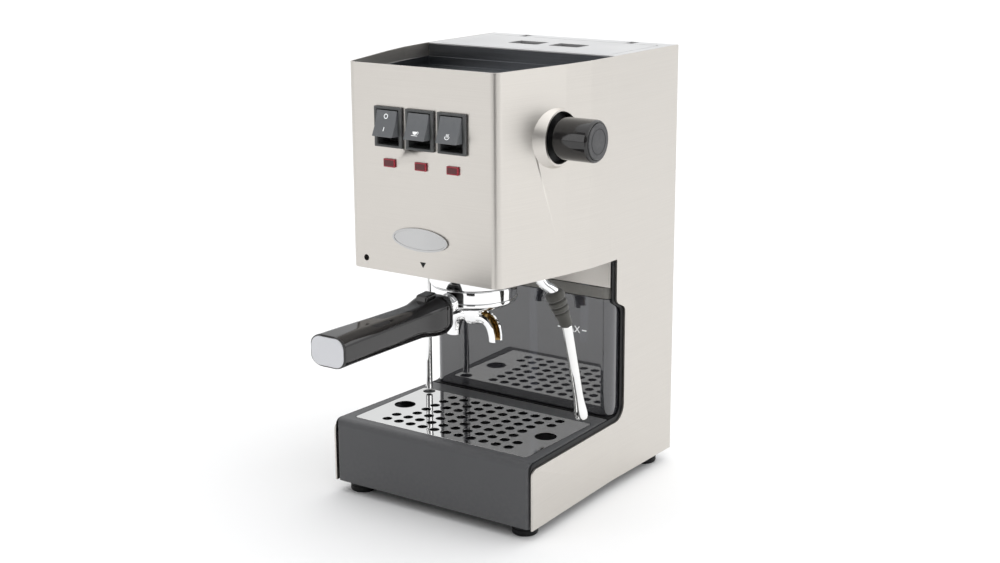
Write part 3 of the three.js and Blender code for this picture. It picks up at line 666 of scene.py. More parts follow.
@dataclass
class Bench:
    """Where pieces are finished: knows the frame, the datum and the finishes."""

    frame: dict
    effects: Effects
    datum: Vector = field(init=False)
    node_slot: dict[str, Slot] = field(init=False)
    node_body: dict[str, str] = field(init=False)
    made: dict[str, bpy.types.Material] = field(default_factory=dict)

    def __post_init__(self) -> None:
        """Finds the datum, and what the record says of each node."""
        low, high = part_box(DATUM_NODE)
        self.datum = Vector(((low.x + high.x) / 2, low.y, 0.0))
        record = self.frame["record"]
        self.node_slot = {part["node"]: Slot(part["material_slot"]) for part in record["subparts"]}
        bodies = record["behaviour"]["bodies"]
        self.node_body = {node: body for body, nodes in bodies.items() for node in nodes}

    def material(self, finish) -> bpy.types.Material:
        """Returns the material of a finish, built the first time."""
        if finish.name not in self.made:
            self.made[finish.name] = finish.make(self.effects)
        return self.made[finish.name]

    def to_frame(self) -> Matrix:
        """Returns the transform from the maker's millimetres to the frame's metres."""
        return Matrix.Translation(self.datum) @ Matrix.Scale(MILLIMETRE, 4)

    def copy_of(self, node: str) -> bmesh.types.BMesh:
        """Returns a merged copy of a CAD node in millimetres, with its flat faces whole."""
        shape = bmesh.new()
        shape.from_mesh(self.frame["nodes"][node].data)
        bmesh.ops.transform(shape, matrix=self.to_frame().inverted(), verts=shape.verts)
        bmesh.ops.remove_doubles(shape, verts=shape.verts, dist=MERGE_DISTANCE)
        bmesh.ops.dissolve_limit(
            shape, angle_limit=FLAT_ANGLE, use_dissolve_boundaries=False, verts=shape.verts,
            edges=shape.edges, delimit=set(),
        )
        return shape

    def place(self, name: str, shape: bmesh.types.BMesh, body: str, slot: Slot, finish,
              stands_for: tuple[str, ...] = ()) -> bpy.types.Object:
        """Finishes a piece and puts it in the frame.

        Args:
            name: Name of the piece.
            shape: Its mesh in the maker's millimetres, which is freed.
            body: Body that it rides on.
            slot: Slot of the record for the piece; not used.
            finish: Finish that it is dressed in.
            stands_for: CAD nodes that it replaces.

        Returns:
            The piece.
        """
        normals = even_normals(shape)
        bmesh.ops.transform(shape, matrix=self.to_frame(), verts=shape.verts)
        mesh = bpy.data.meshes.new(name)
        shape.to_mesh(mesh)
        shape.free()
        mesh.polygons.foreach_set("use_smooth", [True] * len(mesh.polygons))
        mesh.normals_split_custom_set(normals)
        piece = bpy.data.objects.new(name, mesh)
        bpy.context.scene.collection.objects.link(piece)
        mesh.materials.append(self.material(finish))
        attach(piece, body)
        if stands_for:
            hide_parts(*stands_for)
        log.info("%s: %d faces on %s", name, len(mesh.polygons), body)
        return piece

    def refine(self, node: str, name: str, finish, width: float, segments: int = 2) -> bpy.types.Object:
        """Replaces a CAD node with a copy whose edges are rounded.

        Args:
            node: The CAD node.
            name: Name of the new piece.
            finish: Finish that it is dressed in.
            width: Width of the rounding, in millimetres.
            segments: Facets across the rounding.

        Returns:
            The piece.
        """
        shape = self.copy_of(node)
        soften(shape, width, segments)
        return self.place(name, shape, self.node_body[node], self.node_slot[node], finish, (node,))

    def dress_nodes(self) -> None:
        """Gives every CAD node the finish of its slot."""
        for node, carrier in self.frame["nodes"].items():
            carrier.data.materials.clear()
            carrier.data.materials.append(self.material(SLOT_FINISHES[self.node_slot[node]]))


# ---------------------------------------------------------------- housing


@dataclass
class Housing:
    """Sheet steel housing, its floors and liners, and what is fixed to its front."""

    bench: Bench
    sheet_edge: float = 0.35
    pointer: tuple[Corner, ...] = ((-3.0, 220.6), (3.0, 220.6), (0.0, 216.0))

    def build(self) -> None:
        """Builds every piece of the housing."""
        bench = self.bench
        bench.refine("housing", "housing_shell", STEEL, self.sheet_edge)
        # The head's underside is darkened steel: painted shade.
        bench.refine("head_floor", "head_underside", UNDERSIDE_STEEL_PAINTED_SHADE, 0.2)
        bench.refine("rear_shelf", "shelf_over_tank", STEEL, 0.2)
        bench.refine("rear_panel", "vented_back", STEEL, 0.3)
        bench.refine("power_inlet", "inlet_body", SATIN_BLACK, 0.4)
        for side in ("right", "left"):
            bench.refine(f"edge_liner_{side}", f"bay_liner_{side}", SATIN_BLACK, 0.3)
        bench.refine("front_badge", "oval_badge", BADGE_STEEL, 0.4)
        self.make_pointer()

    def make_pointer(self) -> None:
        """Makes the printed triangle that the handle points to when it is locked."""
        mark = prism(list(self.pointer), -0.12, 0.05, Axis.Y)
        self.bench.place("lock_pointer", mark, "chassis", Slot.BLACK, SATIN_BLACK)


@dataclass
class TopDeck:
    """Cup tray, top frame, tank lid, fill funnel."""

    bench: Bench

    def build(self) -> None:
        """Builds every piece of the top."""
        bench = self.bench
        # The cup recess and the sheet at its back wear the darkened steel: painted shade in the recess.
        bench.refine("cup_tray", "cup_recess_pan", RECESS_STEEL_PAINTED_SHADE, 0.4)
        # The top frame and the lid wear the lighter steel: painted light on the top.
        bench.refine("top_frame", "lid_surround", STEEL_TOP_PAINTED_LIGHT, 0.35)
        lining = prism([(-95.6, 361.4), (95.6, 361.4), (95.6, 379.0), (-95.6, 379.0)], 136.65, 136.95, Axis.Y)
        bench.place("recess_back_lining", lining, "chassis", Slot.STEEL, RECESS_STEEL_PAINTED_SHADE)
        bench.refine("tank_lid", "hinged_lid", STEEL_TOP_PAINTED_LIGHT, 0.45)
        bench.refine("fill_funnel", "water_funnel", SATIN_BLACK, 0.4)


# ---------------------------------------------------------------- switches


@dataclass
class SwitchRow:
    """Three rocker switches and the lamp under each."""

    bench: Bench
    pitch: float = 31.8
    height: float = 328.5
    pivot_depth: float = 3.0
    tilt: float = radians(20.0)
    apex: float = 9.2
    reach: float = 15.1
    half_angle: float = radians(46.8)
    relief: float = 0.14

    def build(self) -> None:
        """Builds every switch and lamp."""
        for place, name in enumerate(("power", "brew", "steam")):
            x = (place - 1) * self.pitch
            self.bench.refine(f"{name}_switch_bezel", f"{name}_bezel_frame", SWITCH_BLACK, 0.7, 3)
            self.bench.refine(f"{name}_rocker", f"{name}_rocker_key", ROCKER_PAINTED_LIGHT, 0.55, 3)
            self.bench.refine(f"{name}_lamp", f"{name}_lamp_rim", LENS_EDGE, 0.5, 2)
            self.make_window(name, x)
            self.make_symbols(name, x)

    def make_window(self, name: str, x: float) -> None:
        """Makes the dark middle of a lamp."""
        pane = rounded_loop(4.7, 2.4, 0.4, 3)
        made = bmesh.ops.extrude_face_region(pane, geom=pane.faces[:])
        front = [item for item in made["geom"] if isinstance(item, bmesh.types.BMVert)]
        bmesh.ops.translate(pane, verts=front, vec=(0, -0.25, 0))
        bmesh.ops.translate(pane, verts=pane.verts, vec=(x, -1.75, 299.2))
        bmesh.ops.recalc_face_normals(pane, faces=pane.faces)
        self.bench.place(f"{name}_lamp_window", pane, "chassis", Slot.LENS, LENS)

    def face_frame(self, x: float, lower: bool) -> Matrix:
        """Returns the transform from a symbol's own plane to a face of a rocker.

        Args:
            x: Middle of the switch.
            lower: True for the lower face, False for the upper.

        Returns:
            The transform. In the symbol's plane x runs right, z up, and -y out of the face.
        """
        side = -1.0 if lower else 1.0
        end = Vector((0.0, -self.reach * cos(self.half_angle), side * self.reach * sin(self.half_angle)))
        root = Vector((0.0, -self.apex, 0.0))
        up = (root - end).normalized() if lower else (end - root).normalized()
        right = Vector((1.0, 0.0, 0.0))
        inward = up.cross(right)
        axes = Matrix((right, inward, up)).transposed().to_4x4()
        axes.translation = (root + end) / 2
        seat = Matrix.Translation((x, self.pivot_depth, self.height))
        return seat @ Matrix.Rotation(-self.tilt, 4, "X") @ axes

    def stroke(self, points: list[Corner], width: float) -> bmesh.types.BMesh:
        """Makes a thin raised line through points of the symbol's plane."""
        shape = bmesh.new()
        for (x0, z0), (x1, z1) in zip(points, points[1:]):
            along = Vector((x1 - x0, z1 - z0))
            across = Vector((-along.y, along.x)).normalized() * width / 2
            reach = along.normalized() * width / 4
            corners = [
                (x0 - reach.x + across.x, z0 - reach.y + across.y),
                (x0 - reach.x - across.x, z0 - reach.y - across.y),
                (x1 + reach.x - across.x, z1 + reach.y - across.y),
                (x1 + reach.x + across.x, z1 + reach.y + across.y),
            ]
            merge_into(shape, prism(corners, -self.relief, 0.05, Axis.Y))
        return shape

    def arc(self, middle: Corner, radius: float, start: float, end: float, count: int = 16) -> list[Corner]:
        """Returns points of an arc, with its angles in degrees."""
        return [
            (middle[0] + radius * cos(radians(start + (end - start) * k / count)),
             middle[1] + radius * sin(radians(start + (end - start) * k / count)))
            for k in range(count + 1)
        ]

    def make_symbols(self, name: str, x: float) -> None:
        """Makes the white symbols of a rocker: off and on, a cup, or steam."""
        upper = bmesh.new()
        lower = bmesh.new()
        if name == "power":
            merge_into(upper, self.stroke(self.arc((0, 0.6), 1.75, 0, 360, 24), 0.6))
            merge_into(lower, self.stroke([(0, -0.4), (0, 2.6)], 0.65))
        elif name == "brew":
            bowl = [(-2.4, 1.8), *self.arc((0, 1.6), 2.3, 180, 360, 12), (2.4, 1.8)]
            merge_into(lower, prism(bowl, -self.relief, 0.05, Axis.Y))
            merge_into(lower, self.stroke(self.arc((2.5, 0.9), 0.9, -100, 100, 8), 0.4))
            merge_into(lower, self.stroke([(-2.9, -1.5), (2.9, -1.5)], 0.45))
        else:
            merge_into(lower, self.stroke(self.arc((0, 0.4), 2.2, 180, 360, 12), 0.5))
            for offset in (-1.0, 0.0, 1.0):
                wisp = [(offset - 0.2, 0.1), (offset + 0.25, 0.9), (offset - 0.2, 1.7), (offset + 0.25, 2.6)]
                merge_into(lower, self.stroke(wisp, 0.38))
        for shape, is_lower, word in ((upper, False, "off"), (lower, True, "on")):
            if not shape.verts:
                shape.free()
                continue
            bmesh.ops.transform(shape, matrix=self.face_frame(x, is_lower), verts=shape.verts)
            bmesh.ops.recalc_face_normals(shape, faces=shape.faces)
            self.bench.place(f"{name}_symbol_{word}", shape, f"{name}_switch", Slot.BLACK, PRINT_WHITE_PAINTED_GLOW)


# ---------------------------------------------------------------- steam side


@dataclass
class SteamKnob:
    """Steam knob, the black ring in its hole, and its face."""

    bench: Bench
    centre: Point = (0.0, 65.0, 321.7)

    def build(self) -> None:
        """Builds the knob and its face."""
        knob = turned([
            (0, 92.2), (15.6, 92.2), (17.1, 93.2), (17.2, 122.4), (16.9, 123.5), (16.0, 124.5),
            (15.3, 124.7),
            (14.9, 124.5), (14.7, 123.6), (0, 123.6),
        ], 96, Axis.X, self.centre)
        self.bench.place("steam_knob_body", knob, "steam_control", Slot.BLACK, GLOSS_BLACK, ("steam_knob",))
        # A black ring and disc set in the knob's hole: painted shade in the gap round the knob.
        gap_ring = turned([
            (5.0, 84.0), (21.0, 84.0), (21.0, 89.6), (20.6, 89.6), (20.6, 85.5), (5.0, 85.5), (5.0, 84.0),
        ], 64, Axis.X, self.centre)
        self.bench.place("knob_gap_shade_ring", gap_ring, "chassis", Slot.BLACK, SATIN_BLACK)
        face = turned([
            (0, 123.5), (14.4, 123.5), (14.5, 124.9), (14.0, 125.4), (10.6, 125.5), (10.3, 125.1),
            (9.9, 125.1),
            (9.6, 125.5), (0, 125.6),
        ], 96, Axis.X, self.centre)
        self.bench.place("steam_knob_face", face, "steam_control", Slot.GREY, KNOB_FACE, ("knob_cap",))


@dataclass
class SteamWand:
    """Bent pipe, rubber grip and steel tube of the steam wand."""

    bench: Bench
    axis: Corner = (66.0, 70.0)

    def at(self, points: list[Point]) -> list[Point]:
        """Moves points that are given from the wand's axis."""
        return [(x + self.axis[0], y + self.axis[1], z) for x, y, z in points]

    def build(self) -> None:
        """Builds the wand from its pipe to its tip."""
        bend = self.at([
            (0, 0, 209.6), (0, 0, 207.4), (0.4, 0.8, 202), (2.9, 3.2, 197), (6.6, 6.3, 193.4),
            (9, 8.2, 190.4),
            (10, 9.2, 186.6),
        ])
        curve = smooth_path(bend, 6)
        pipe = swept(curve, [4.8] * len(curve), 40)
        merge_into(pipe, turned([
            (0, 207), (6.4, 207), (6.8, 207.4), (6.8, 209.3), (6.4, 209.6), (0, 209.6),
        ], 6, Axis.Z, (self.axis[0], self.axis[1], 0)))
        self.bench.place("wand_bend", pipe, "wand", Slot.CHROME, CHROME, ("wand_pipe",))
        self.make_grip()
        self.make_tube()

    def make_grip(self) -> None:
        """Makes the rubber grip: a dome, three bellows rings and a taper."""
        top, bottom = Vector((9.0, 8.2, 190.8)), Vector((16.9, 16.4, 160.6))
        profile = [
            (0.0, 5.2), (0.01, 6.3), (0.04, 7.5), (0.10, 8.2), (0.17, 8.3), (0.22, 7.9), (0.25, 6.5),
            (0.265, 6.5),
            (0.30, 7.9), (0.36, 8.0), (0.40, 7.5), (0.425, 6.1), (0.44, 6.1), (0.47, 7.4), (0.53, 7.4),
            (0.57, 6.8), (0.59, 5.7), (0.605, 5.7), (0.64, 6.7), (0.70, 6.5), (0.76, 5.9), (0.86, 5.6),
            (0.96, 5.4),
            (0.99, 5.1), (1.0, 4.6),
        ]
        path = self.at([tuple(top.lerp(bottom, along)) for along, _ in profile])
        grip = swept(path, [radius for _, radius in profile], 48)
        self.bench.place("wand_rubber_grip", grip, "wand", Slot.RUBBER, RUBBER, ("wand_grip",))

    def make_tube(self) -> None:
        """Makes the steel tube with its waist and its thicker tip."""
        top, bottom = Vector((17.05, 16.8, 160.2)), Vector((24.0, 30.0, 75.5))
        profile = [
            (0.0, 4.0), (0.004, 4.3), (0.72, 4.3), (0.78, 4.5), (0.83, 4.9), (0.88, 5.4), (0.92, 5.8),
            (0.955, 5.8),
            (0.98, 5.3), (0.993, 4.4), (1.0, 3.0),
        ]
        path = self.at([tuple(top.lerp(bottom, along)) for along, _ in profile])
        tube = swept(path, [radius for _, radius in profile], 48)
        self.bench.place("wand_steel_tube", tube, "wand", Slot.POLISHED, POLISHED, ("wand_tube",))


# ---------------------------------------------------------------- group and portafilter


@dataclass
class Group:
    """Group head's collar and the drain tube."""

    bench: Bench
    centre: Point = (0.0, 70.0, 0.0)

    def build(self) -> None:
        """Builds the group's collar and the drain tube."""
        collar = turned([
            (32.4, 190.7), (32.8, 190.4), (36.8, 190.4), (37.4, 190.7), (37.6, 191.3), (37.6, 205.2),
            (37.5, 205.8),
            (37.1, 206.3), (37, 207.2), (37, 213.7), (0, 213.7), (0, 204), (35.6, 204), (35.6, 194),
            (32.4, 194),
            (32.4, 190.7),
        ], 120, Axis.Z, self.centre)
        self.bench.place("group_collar", collar, "chassis", Slot.CHROME, CHROME, ("group_head",))
        drain = turned([
            (3.1, 70.4), (3.1, 211.6), (2.0, 211.6), (2.0, 70.4), (2.5, 70.0), (3.1, 70.4),
        ], 32, Axis.Z, (-80.0, 109.0, 0.0))
        self.bench.place("drain_pipe", drain, "chassis", Slot.CHROME, CHROME, ("drain_tube",))


@dataclass
class Portafilter:
    """Portafilter with its basket, double spout and handle."""

    bench: Bench
    centre: Point = (0.0, 70.0, 0.0)

    def build(self) -> None:
        """Builds every piece of the portafilter."""
        self.make_body()
        self.make_spout()
        self.make_handle()

    def make_body(self) -> None:
        """Makes the round body with its lugs, lip and shank, and its basket."""
        body = turned([
            (4, 167), (11, 167), (12.6, 167.3), (22, 169.4), (31, 172.4), (34.6, 174.4), (36.1, 175.3),
            (36.8, 176),
            (37, 176.8), (37, 178.4), (36.8, 179), (36.4, 179.4), (36.4, 188.6), (36, 189.4), (35.2, 189.8),
            (31.6, 189.8), (31.6, 197.6), (29.6, 197.6), (29.6, 176), (4, 176), (4, 167),
        ], 120, Axis.Z, self.centre)
        merge_into(body, turned([
            (0, -56), (7.7, -56), (8, -55.6), (8, -41), (8.6, -40), (9.4, -36.5), (9.8, -31), (0, -31),
        ], 48, Axis.Y, (0.0, self.centre[1], 178.0)))
        for side in (1, -1):
            lug = prism([
                (side * 31, -8), (side * 34.4, -8), (side * 34.9, 0), (side * 34.4, 8), (side * 31, 8),
            ], 194.5, 197.5)
            soften(lug, 0.5, 2)
            bmesh.ops.translate(lug, verts=lug.verts, vec=self.centre)
            merge_into(body, lug)
        self.bench.place("portafilter_bowl", body, "portafilter", Slot.CHROME, CHROME, ("portafilter_body",))
        basket = turned([
            (0, 177.4), (25.6, 177.4), (28.2, 178.6), (28.8, 180.4), (29, 197.8), (31.2, 197.9),
            (31.4, 198.2),
            (31.2, 198.4), (28.4, 198.4), (28.2, 198), (27.9, 180.6), (25.4, 178.2), (0, 178.2),
        ], 96, Axis.Z, self.centre)
        self.bench.place("coffee_basket", basket, "portafilter", Slot.POLISHED, POLISHED, ("filter_basket",))

    def arm_path(self, side: int) -> list[Point]:
        """Returns the middle line of one arm of the spout, from the neck to its tip."""
        y = self.centre[1]
        return smooth_path([
            (side * 1.0, y, 159.6), (side * 8.0, y, 161.0), (side * 14.6, y, 159.4),
            (side * 19.6, y, 153.8),
            (side * 21.8, y, 146.8), (side * 22.3, y, 140.8),
        ], 6)

    def channel(self, side: int, radius: float, wall: float, opening: float) -> bmesh.types.BMesh:
        """Makes one arm of the spout, a bent tube that is open along its outer side.

        Args:
            side: 1 for the right arm, -1 for the left.
            radius: Outer radius of the tube.
            wall: Thickness of its wall.
            opening: Width of the opening, in degrees.

        Returns:
            The mesh.
        """
        path = self.arm_path(side)
        radii = [radius * (1.0 - 0.16 * place / (len(path) - 1)) for place in range(len(path))]
        shape = swept(path, radii, 48)
        points = [Vector(point) for point in path]
        doomed = []
        for face in shape.faces:
            middle = face.calc_center_median()
            near = min(range(len(points)), key=lambda place: (points[place] - middle).length_squared)
            along = (points[min(near + 1, len(points) - 1)] - points[max(near - 1, 0)]).normalized()
            outward = along.cross(Vector((0, side, 0)))
            is_end = len(face.verts) > 4
            is_open = (middle - points[near]).normalized().dot(outward) > cos(radians(opening / 2))
            if is_end or (is_open and near > 8):
                doomed.append(face)
        bmesh.ops.delete(shape, geom=doomed, context="FACES")
        bmesh.ops.recalc_face_normals(shape, faces=shape.faces)
        bmesh.ops.solidify(shape, geom=shape.faces[:], thickness=wall)
        bmesh.ops.recalc_face_normals(shape, faces=shape.faces)
        return shape

    def make_spout(self) -> None:
        """Makes the double spout: its neck, its bridge and its two open arms."""
        spout = turned([
            (0, 153.6), (5.5, 153.8), (7.6, 155), (8.7, 157.5), (8.9, 160.5), (9.5, 162.5), (9.5, 166.6),
            (0, 166.6),
        ], 64, Axis.Z, self.centre)
        for side in (1, -1):
            merge_into(spout, self.channel(side, 6.9, 1.5, 120.0))
        self.bench.place("double_spout", spout, "portafilter", Slot.CHROME, CHROME, ("spout",))
        lining = self.channel(1, 5.2, 0.3, 150.0)
        merge_into(lining, self.channel(-1, 5.2, 0.3, 150.0))
        self.bench.place("spout_lining", lining, "portafilter", Slot.CHROME, SPOUT_GOLD)

    def make_handle(self) -> None:
        """Makes the handle, with its flat top, thumb rest and end plate."""
        stations = [
            (21.4, 174.6, 7.4, 7.8), (21.3, 174.6, 10.4, 10.8), (20.6, 174.6, 13.6, 13.9),
            (19.0, 174.6, 15.5, 15.6),
            (15.0, 174.5, 16.7, 16.6), (9.0, 174.5, 16.7, 16.6), (3.0, 174.4, 16.0, 16.0),
            (-3.0, 174.3, 14.8, 15.0),
            (-8.0, 174.2, 13.8, 14.0), (-14.0, 174.0, 13.2, 13.4), (-24.0, 173.9, 13.2, 13.2),
            (-60.0, 174.3, 14.6, 13.0), (-100.0, 174.9, 16.5, 12.9), (-118.2, 175.0, 17.3, 12.8),
            (-119.2, 175.0, 17.1, 12.6), (-119.6, 175.0, 16.6, 12.1),
        ]
        grip = rounded_loop(1.0, 1.0, 0.66, 10)
        tip = grip.faces[:][0]
        for place, (y, z, half_width, half_height) in enumerate(stations):
            if place:
                made = bmesh.ops.extrude_face_region(grip, geom=[tip])
                tip = next(item for item in made["geom"] if isinstance(item, bmesh.types.BMFace))
            middle = tip.calc_center_bounds()
            now_width = max(vert.co.x for vert in tip.verts) - middle.x
            now_height = max(vert.co.z for vert in tip.verts) - middle.z
            grow = Matrix.Diagonal((half_width / now_width, 1.0, half_height / now_height, 1.0))
            move = Matrix.Translation((0.0, y, z)) @ grow @ Matrix.Translation(-middle)
            bmesh.ops.transform(grip, matrix=move, verts=tip.verts)
        bmesh.ops.recalc_face_normals(grip, faces=grip.faces)
        rest = prism([(10, 181), (10, 194.3), (-3, 193.3), (-7, 181)], -5.5, 5.5, Axis.X)
        soften(rest, 1.3, 4)
        merge_into(grip, rest)
        self.bench.place("handle_grip", grip, "portafilter", Slot.BLACK, GLOSS_BLACK, ("portafilter_handle",))
        plate = rounded_loop(16.0, 11.5, 8.2, 10)
        made = bmesh.ops.extrude_face_region(plate, geom=plate.faces[:])
        front = [item for item in made["geom"] if isinstance(item, bmesh.types.BMVert)]
        bmesh.ops.translate(plate, verts=front, vec=(0, -1.2, 0))
        bmesh.ops.translate(plate, verts=plate.verts, vec=(0, -119.0, 175.0))
        bmesh.ops.recalc_face_normals(plate, faces=plate.faces)
        soften(plate, 0.4, 3, radians(50))
        self.bench.place("handle_end_plate", plate, "portafilter", Slot.POLISHED, CAP_SILVER, ("handle_cap",))


# ---------------------------------------------------------------- base, tray, grille and tank


@dataclass
class Base:
    """Base tub, drip tray and feet."""

    bench: Bench
    feet: tuple[tuple[str, float, float], ...] = (
        ("front_right", 86, 20), ("front_left", -86, 20), ("rear_right", 82, 220), ("rear_left", -82, 220),
    )

    def build(self) -> None:
        """Builds the base."""
        self.bench.refine("base_tub", "base_floor", SATIN_BLACK, 0.4)
        self.bench.refine("drip_tray", "waste_tray", CHARCOAL, 0.9, 3)
        for name, x, y in self.feet:
            foot = turned([
                (0, 0.6), (7.6, 0.6), (7.9, 0), (9.9, 0), (10.7, 0.7), (11, 1.8), (11, 5), (10.5, 5.4),
                (10.5, 9.6), (0, 9.6),
            ], 48, Axis.Z, (x, y, 0))
            stood = (f"foot_{name}",)
            self.bench.place(f"rubber_foot_{name}", foot, "chassis", Slot.RUBBER, SATIN_BLACK, stood)


@dataclass
class Grille:
    """Perforated plate over the drip tray."""

    bench: Bench
    half_width: float = 90.0
    front: float = 16.0
    rear: float = 115.0
    top: float = 67.0
    thickness: float = 1.6
    middle: float = 67.0
    pitch: Corner = (12.8, 12.9)
    hole: float = 4.3
    finger_hole: float = 9.4
    drain: tuple[float, float, float] = (-80.0, 109.0, 5.6)

    def rows(self) -> list[tuple[int, float]]:
        """Returns each row's count of holes and its shift, from the front."""
        half = self.pitch[0] / 2
        return [(11, 0), (11, 0), (9, 0), (9, 0), (9, 0), (10, half), (10, half)]

    def build(self) -> None:
        """Builds the plate with every hole."""
        shape = bmesh.new()
        depth = self.rear - self.front
        outline = rounded_loop(self.half_width, depth / 2, 2.5, 5)
        centre = Matrix.Translation((0, (self.front + self.rear) / 2, self.top))
        lay = centre @ Matrix.Rotation(-pi / 2, 4, "X")
        bmesh.ops.transform(outline, matrix=lay, verts=outline.verts)
        bmesh.ops.delete(outline, geom=outline.faces[:], context="FACES_ONLY")
        merge_into(shape, outline)
        holes = [
            (
                (place - (count - 1) / 2) * self.pitch[0] + shift,
                self.middle + (row - MIDDLE_ROW) * self.pitch[1], self.hole, HOLE_SIDES,
            )
            for row, (count, shift) in enumerate(self.rows()) for place in range(count)
        ]
        holes += [(side * 75.0, self.middle, self.finger_hole, 56) for side in (-1, 1)]
        holes.append((*self.drain, 36))
        for x, y, radius, sides in holes:
            bmesh.ops.create_circle(
                shape, cap_ends=False, radius=radius, segments=sides,
                matrix=Matrix.Translation((x, y, self.top)),
            )
        bmesh.ops.triangle_fill(
            shape, use_beauty=True, use_dissolve=False, edges=shape.edges, normal=(0, 0, 1)
        )
        made = bmesh.ops.extrude_face_region(shape, geom=shape.faces[:])
        lowered = [item for item in made["geom"] if isinstance(item, bmesh.types.BMVert)]
        bmesh.ops.translate(shape, verts=lowered, vec=(0, 0, -self.thickness))
        bmesh.ops.recalc_face_normals(shape, faces=shape.faces)
        soften(shape, 0.25, 2, radians(50))
        self.bench.place("perforated_plate", shape, "grille", Slot.POLISHED, POLISHED, ("drip_grille",))


@dataclass
class WaterTank:
    """Smoke grey tank, its rim, its level mark and the hoses that hang in it."""

    bench: Bench
    hose_depth: float = 150.0

    def build(self) -> None:
        """Builds the tank."""
        self.bench.refine("water_tank", "tank_vessel", SMOKE, 0.8, 3)
        self.bench.refine("tank_rim", "tank_rim_band", RIM_GREY, 0.4)
        self.make_mark()
        self.make_hoses()

    def make_mark(self) -> None:
        """Makes the printed line and word that say how full the tank may be."""
        letters = bpy.data.curves.new("level_word", "FONT")
        letters.body = "MAX"
        letters.size = 8.4
        letters.align_x = "CENTER"
        letters.extrude = 0.06
        carrier = bpy.data.objects.new("level_word", letters)
        bpy.context.scene.collection.objects.link(carrier)
        bpy.context.view_layer.update()
        flat = bpy.data.meshes.new_from_object(carrier.evaluated_get(bpy.context.evaluated_depsgraph_get()))
        shape = bmesh.new()
        shape.from_mesh(flat)
        bpy.data.objects.remove(carrier)
        bpy.data.meshes.remove(flat)
        bmesh.ops.remove_doubles(shape, verts=shape.verts, dist=0.001)
        turn = Matrix.Translation((55.0, 137.25, 138.6)) @ Matrix.Rotation(pi / 2, 4, "X")
        bmesh.ops.transform(shape, matrix=turn, verts=shape.verts)
        for x in (41.0, 66.0):
            dash = [(x, 140.9), (x + 4.5, 140.9), (x + 4.5, 141.9), (x, 141.9)]
            merge_into(shape, prism(dash, 137.15, 137.35, Axis.Y))
        self.bench.place("level_mark", shape, "tank", Slot.SMOKE, PRINT_WHITE_PAINTED_GLOW)

    def make_hoses(self) -> None:
        """Makes the suction hose and the return hose as smooth tubes."""
        depth = self.hose_depth
        suction = smooth_path([
            (7.5, depth, 76), (7.5, depth, 120), (7.5, depth, 180), (7.5, depth, 212), (-2, depth, 236),
            (-34, depth, 245), (-56, 151, 245), (-62, 157, 245), (-62, 160.6, 245),
        ], 6)
        returned = smooth_path([(61, depth, 128), (61, depth, 170), (61, depth, 227.6)], 4)
        for name, path, node in (("intake", suction, "suction_hose"), ("relief", returned, "return_hose")):
            tube = swept(path, [3.6] * len(path), 32)
            self.bench.place(f"{name}_tubing", tube, "chassis", Slot.SILICONE, SILICONE, (node,))


# ---------------------------------------------------------------- studio


